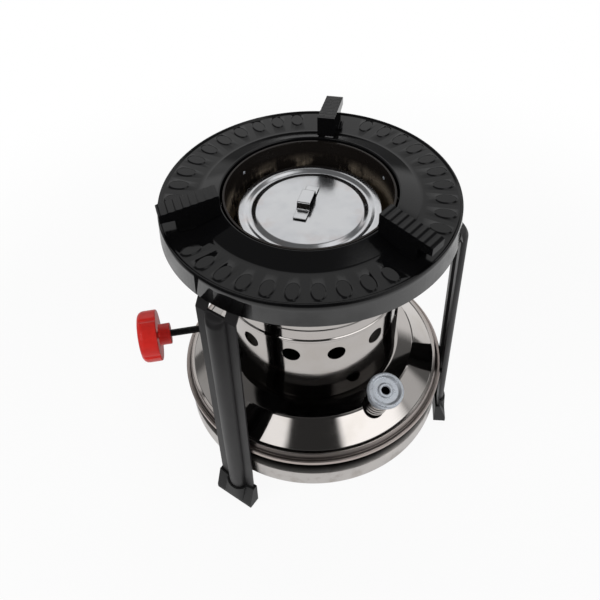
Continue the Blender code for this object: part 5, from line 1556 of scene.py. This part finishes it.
class STOVE_OT_stage(bpy.types.Operator):
    """Set up the pale floor, the soft lamps, the surroundings and the camera"""

    bl_idname = "stove.stage"
    bl_label = "Stage"

    def execute(self, context):
        self.floor(context.scene.stove_colours)
        self.surroundings(context.scene)
        for name, angle, elevation, distance, size, radiance in LAMPS:
            self.lamp(name, angle, elevation, distance, size, radiance)
        self.camera(context.scene)
        context.scene.view_settings.view_transform = "Standard"
        return {"FINISHED"}

    def floor(self, colours):
        deselect_all()
        bpy.ops.mesh.primitive_plane_add(size=STAGE_SIZE, location=(0, 0, FLOOR))
        floor = bpy.context.object
        floor.name = "pale_floor"
        bpy.ops.object.transform_apply(location=True)
        material = bpy.data.materials.new("pale_floor")
        maker = Maker(material)
        matt = maker.add("ShaderNodeBsdfDiffuse", {}, {"Color": rgba(colours.floor)})
        distance, angle, height = maker.axis_values()
        camera, mirror = self.seen(maker)
        far = maker.band(maker.add("ShaderNodeMath", {"operation": "COSINE"}, {0: angle}), 0.1, 0.9)
        back = maker.band(maker.add("ShaderNodeMath", {"operation": "SINE"}, {0: angle}), 0.0, 0.8)
        far = FLOOR_FRONT_LEVEL + far * FLOOR_RIGHT_LEVEL + back * FLOOR_BACK_LEVEL
        near = 1.0 - maker.band(distance, FLOOR_NEAR_RADIUS, FLOOR_FAR_RADIUS)
        path = maker.tree.nodes.new("ShaderNodeLightPath")
        again = maker.band(Value(maker, path.outputs["Glossy Depth"]), 1.2, 1.8)
        level = far.larger_of(near * FLOOR_NEAR_LEVEL) * (1.0 - again * (1 - FLOOR_AGAIN_SHARE))
        glow = maker.add("ShaderNodeEmission", {}, {"Color": (1, 1, 1, 1), "Strength": camera + mirror * level})
        shade = (1.0 - maker.band(distance, FLOOR_FAR_RADIUS, FLOOR_FAR_RADIUS * 2)) * SHADOW_SHARE
        mixed = maker.add("ShaderNodeMixShader", {}, {0: mirror + camera * (1.0 - shade), 1: matt, 2: glow})
        maker.add("ShaderNodeOutputMaterial", {}, {"Surface": mixed})
        floor.data.materials.append(material)

    def seen(self, maker):
        """1 on rays from the camera, and 1 on rays from a mirror or through glass."""
        path = maker.tree.nodes.new("ShaderNodeLightPath")
        camera = Value(maker, path.outputs["Is Camera Ray"])
        glossy = Value(maker, path.outputs["Is Glossy Ray"])
        clear = Value(maker, path.outputs["Is Transmission Ray"])
        return camera, glossy.larger_of(clear)

    def surroundings(self, scene):
        """A dim room with soft pale patches, nearly black in front, and white to the camera."""
        world = bpy.data.worlds.new("studio")
        scene.world = world
        maker = Maker(world)
        parts = maker.tree.nodes.new("ShaderNodeSeparateXYZ")
        maker.tree.links.new(maker.add("ShaderNodeTexCoord", output=0).socket, parts.inputs[0])
        x, y, z = (Value(maker, socket) for socket in parts.outputs)
        angle = maker.add("ShaderNodeMath", {"operation": "ARCTAN2"}, {0: y, 1: x})
        elevation = maker.add("ShaderNodeMath", {"operation": "ARCSINE"}, {0: z})
        front = self.patch(maker, angle, elevation, (-100, 20, 62, 90, 14))
        level = ROOM_LEVEL - front * (ROOM_LEVEL - FRONT_LEVEL)
        for *window, strength in PATCHES:
            level = level.larger_of(self.patch(maker, angle, elevation, window) * strength)
        path = maker.tree.nodes.new("ShaderNodeLightPath")
        again = maker.band(Value(maker, path.outputs["Glossy Depth"]), 1.2, 1.8)
        level = level * (1.0 - again * (1 - ROOM_AGAIN_SHARE))
        camera = self.seen(maker)[0]
        level = level * (1.0 - camera) + camera
        glow = maker.add("ShaderNodeBackground", {}, {"Color": (1, 1, 1, 1), "Strength": level})
        maker.add("ShaderNodeOutputWorld", {}, {"Surface": glow})

    def patch(self, maker, angle, elevation, window):
        """1 within a window of directions and 0 outside it, with a soft edge."""
        middle, rise, width, height, soft = (math.radians(value) for value in window)
        across = maker.add("ShaderNodeMath", {"operation": "WRAP"}, {0: angle - middle, 1: math.pi, 2: -math.pi})
        across = maker.add("ShaderNodeMath", {"operation": "ABSOLUTE"}, {0: across})
        up = maker.add("ShaderNodeMath", {"operation": "ABSOLUTE"}, {0: elevation - rise})
        inside = 1.0 - maker.band(across, (width - soft) / 2, (width + soft) / 2)
        return inside * (1.0 - maker.band(up, (height - soft) / 2, (height + soft) / 2))

    def lamp(self, name, angle, elevation, distance, size, radiance):
        """A softbox that looks equally bright whatever its size."""
        deselect_all()
        turn = Matrix.Rotation(math.radians(angle), 4, "Z") @ Matrix.Rotation(math.radians(-elevation), 4, "Y")
        place = turn @ Vector((distance, 0, 0))
        bpy.ops.object.light_add(type="AREA", location=place)
        item = bpy.context.object
        item.name = name
        item.rotation_euler = (-place).to_track_quat("-Z", "Y").to_euler()
        item.data.shape = "RECTANGLE"
        item.data.size, item.data.size_y = size
        item.data.energy = radiance * math.pi * size[0] * size[1]
        item.visible_glossy = False

    def camera(self, scene):
        deselect_all()
        bpy.ops.object.camera_add(location=CAMERA_PLACE, rotation=CAMERA_TURN)
        camera = bpy.context.object
        camera.name = "photo_camera"
        camera.data.lens = CAMERA_LENS_MM
        camera.data.sensor_width = CAMERA_SENSOR_MM
        camera.data.clip_start = 0.01
        scene.camera = camera


class STOVE_PT_panel(bpy.types.Panel):
    """Lists the stove's sizes, colours and modelling steps"""

    bl_idname = "STOVE_PT_panel"
    bl_label = "Kerosene Wick Stove"
    bl_space_type = "VIEW_3D"
    bl_region_type = "UI"
    bl_category = "Stove"

    def draw(self, context):
        layout = self.layout
        for group in (context.scene.stove_sizes, context.scene.stove_colours):
            box = layout.box()
            for name in group.__annotations__:
                box.prop(group, name)
        for step in STEPS:
            layout.operator(step.bl_idname)


STEPS = (
    STOVE_OT_inner_parts,
    STOVE_OT_tank_pan,
    STOVE_OT_tank_top,
    STOVE_OT_filler,
    STOVE_OT_casing,
    STOVE_OT_top_plate,
    STOVE_OT_pot_rests,
    STOVE_OT_legs,
    STOVE_OT_feet,
    STOVE_OT_sleeves,
    STOVE_OT_lid,
    STOVE_OT_control,
    STOVE_OT_stage,
)
CLASSES = (StoveSizes, StoveColours) + STEPS + (STOVE_PT_panel,)


def register():
    for item in CLASSES:
        bpy.utils.register_class(item)
    bpy.types.Scene.stove_sizes = PointerProperty(type=StoveSizes)
    bpy.types.Scene.stove_colours = PointerProperty(type=StoveColours)


def unregister():
    del bpy.types.Scene.stove_colours
    del bpy.types.Scene.stove_sizes
    for item in reversed(CLASSES):
        bpy.utils.unregister_class(item)


def main():
    register()
    bpy.ops.stove.inner_parts()
    bpy.ops.stove.tank_pan()
    bpy.ops.stove.tank_top()
    bpy.ops.stove.filler()
    bpy.ops.stove.casing()
    bpy.ops.stove.top_plate()
    bpy.ops.stove.pot_rests()
    bpy.ops.stove.legs()
    bpy.ops.stove.feet()
    bpy.ops.stove.sleeves()
    bpy.ops.stove.lid()
    bpy.ops.stove.control()
    bpy.ops.stove.stage()


if __name__ == "__main__":
    main()
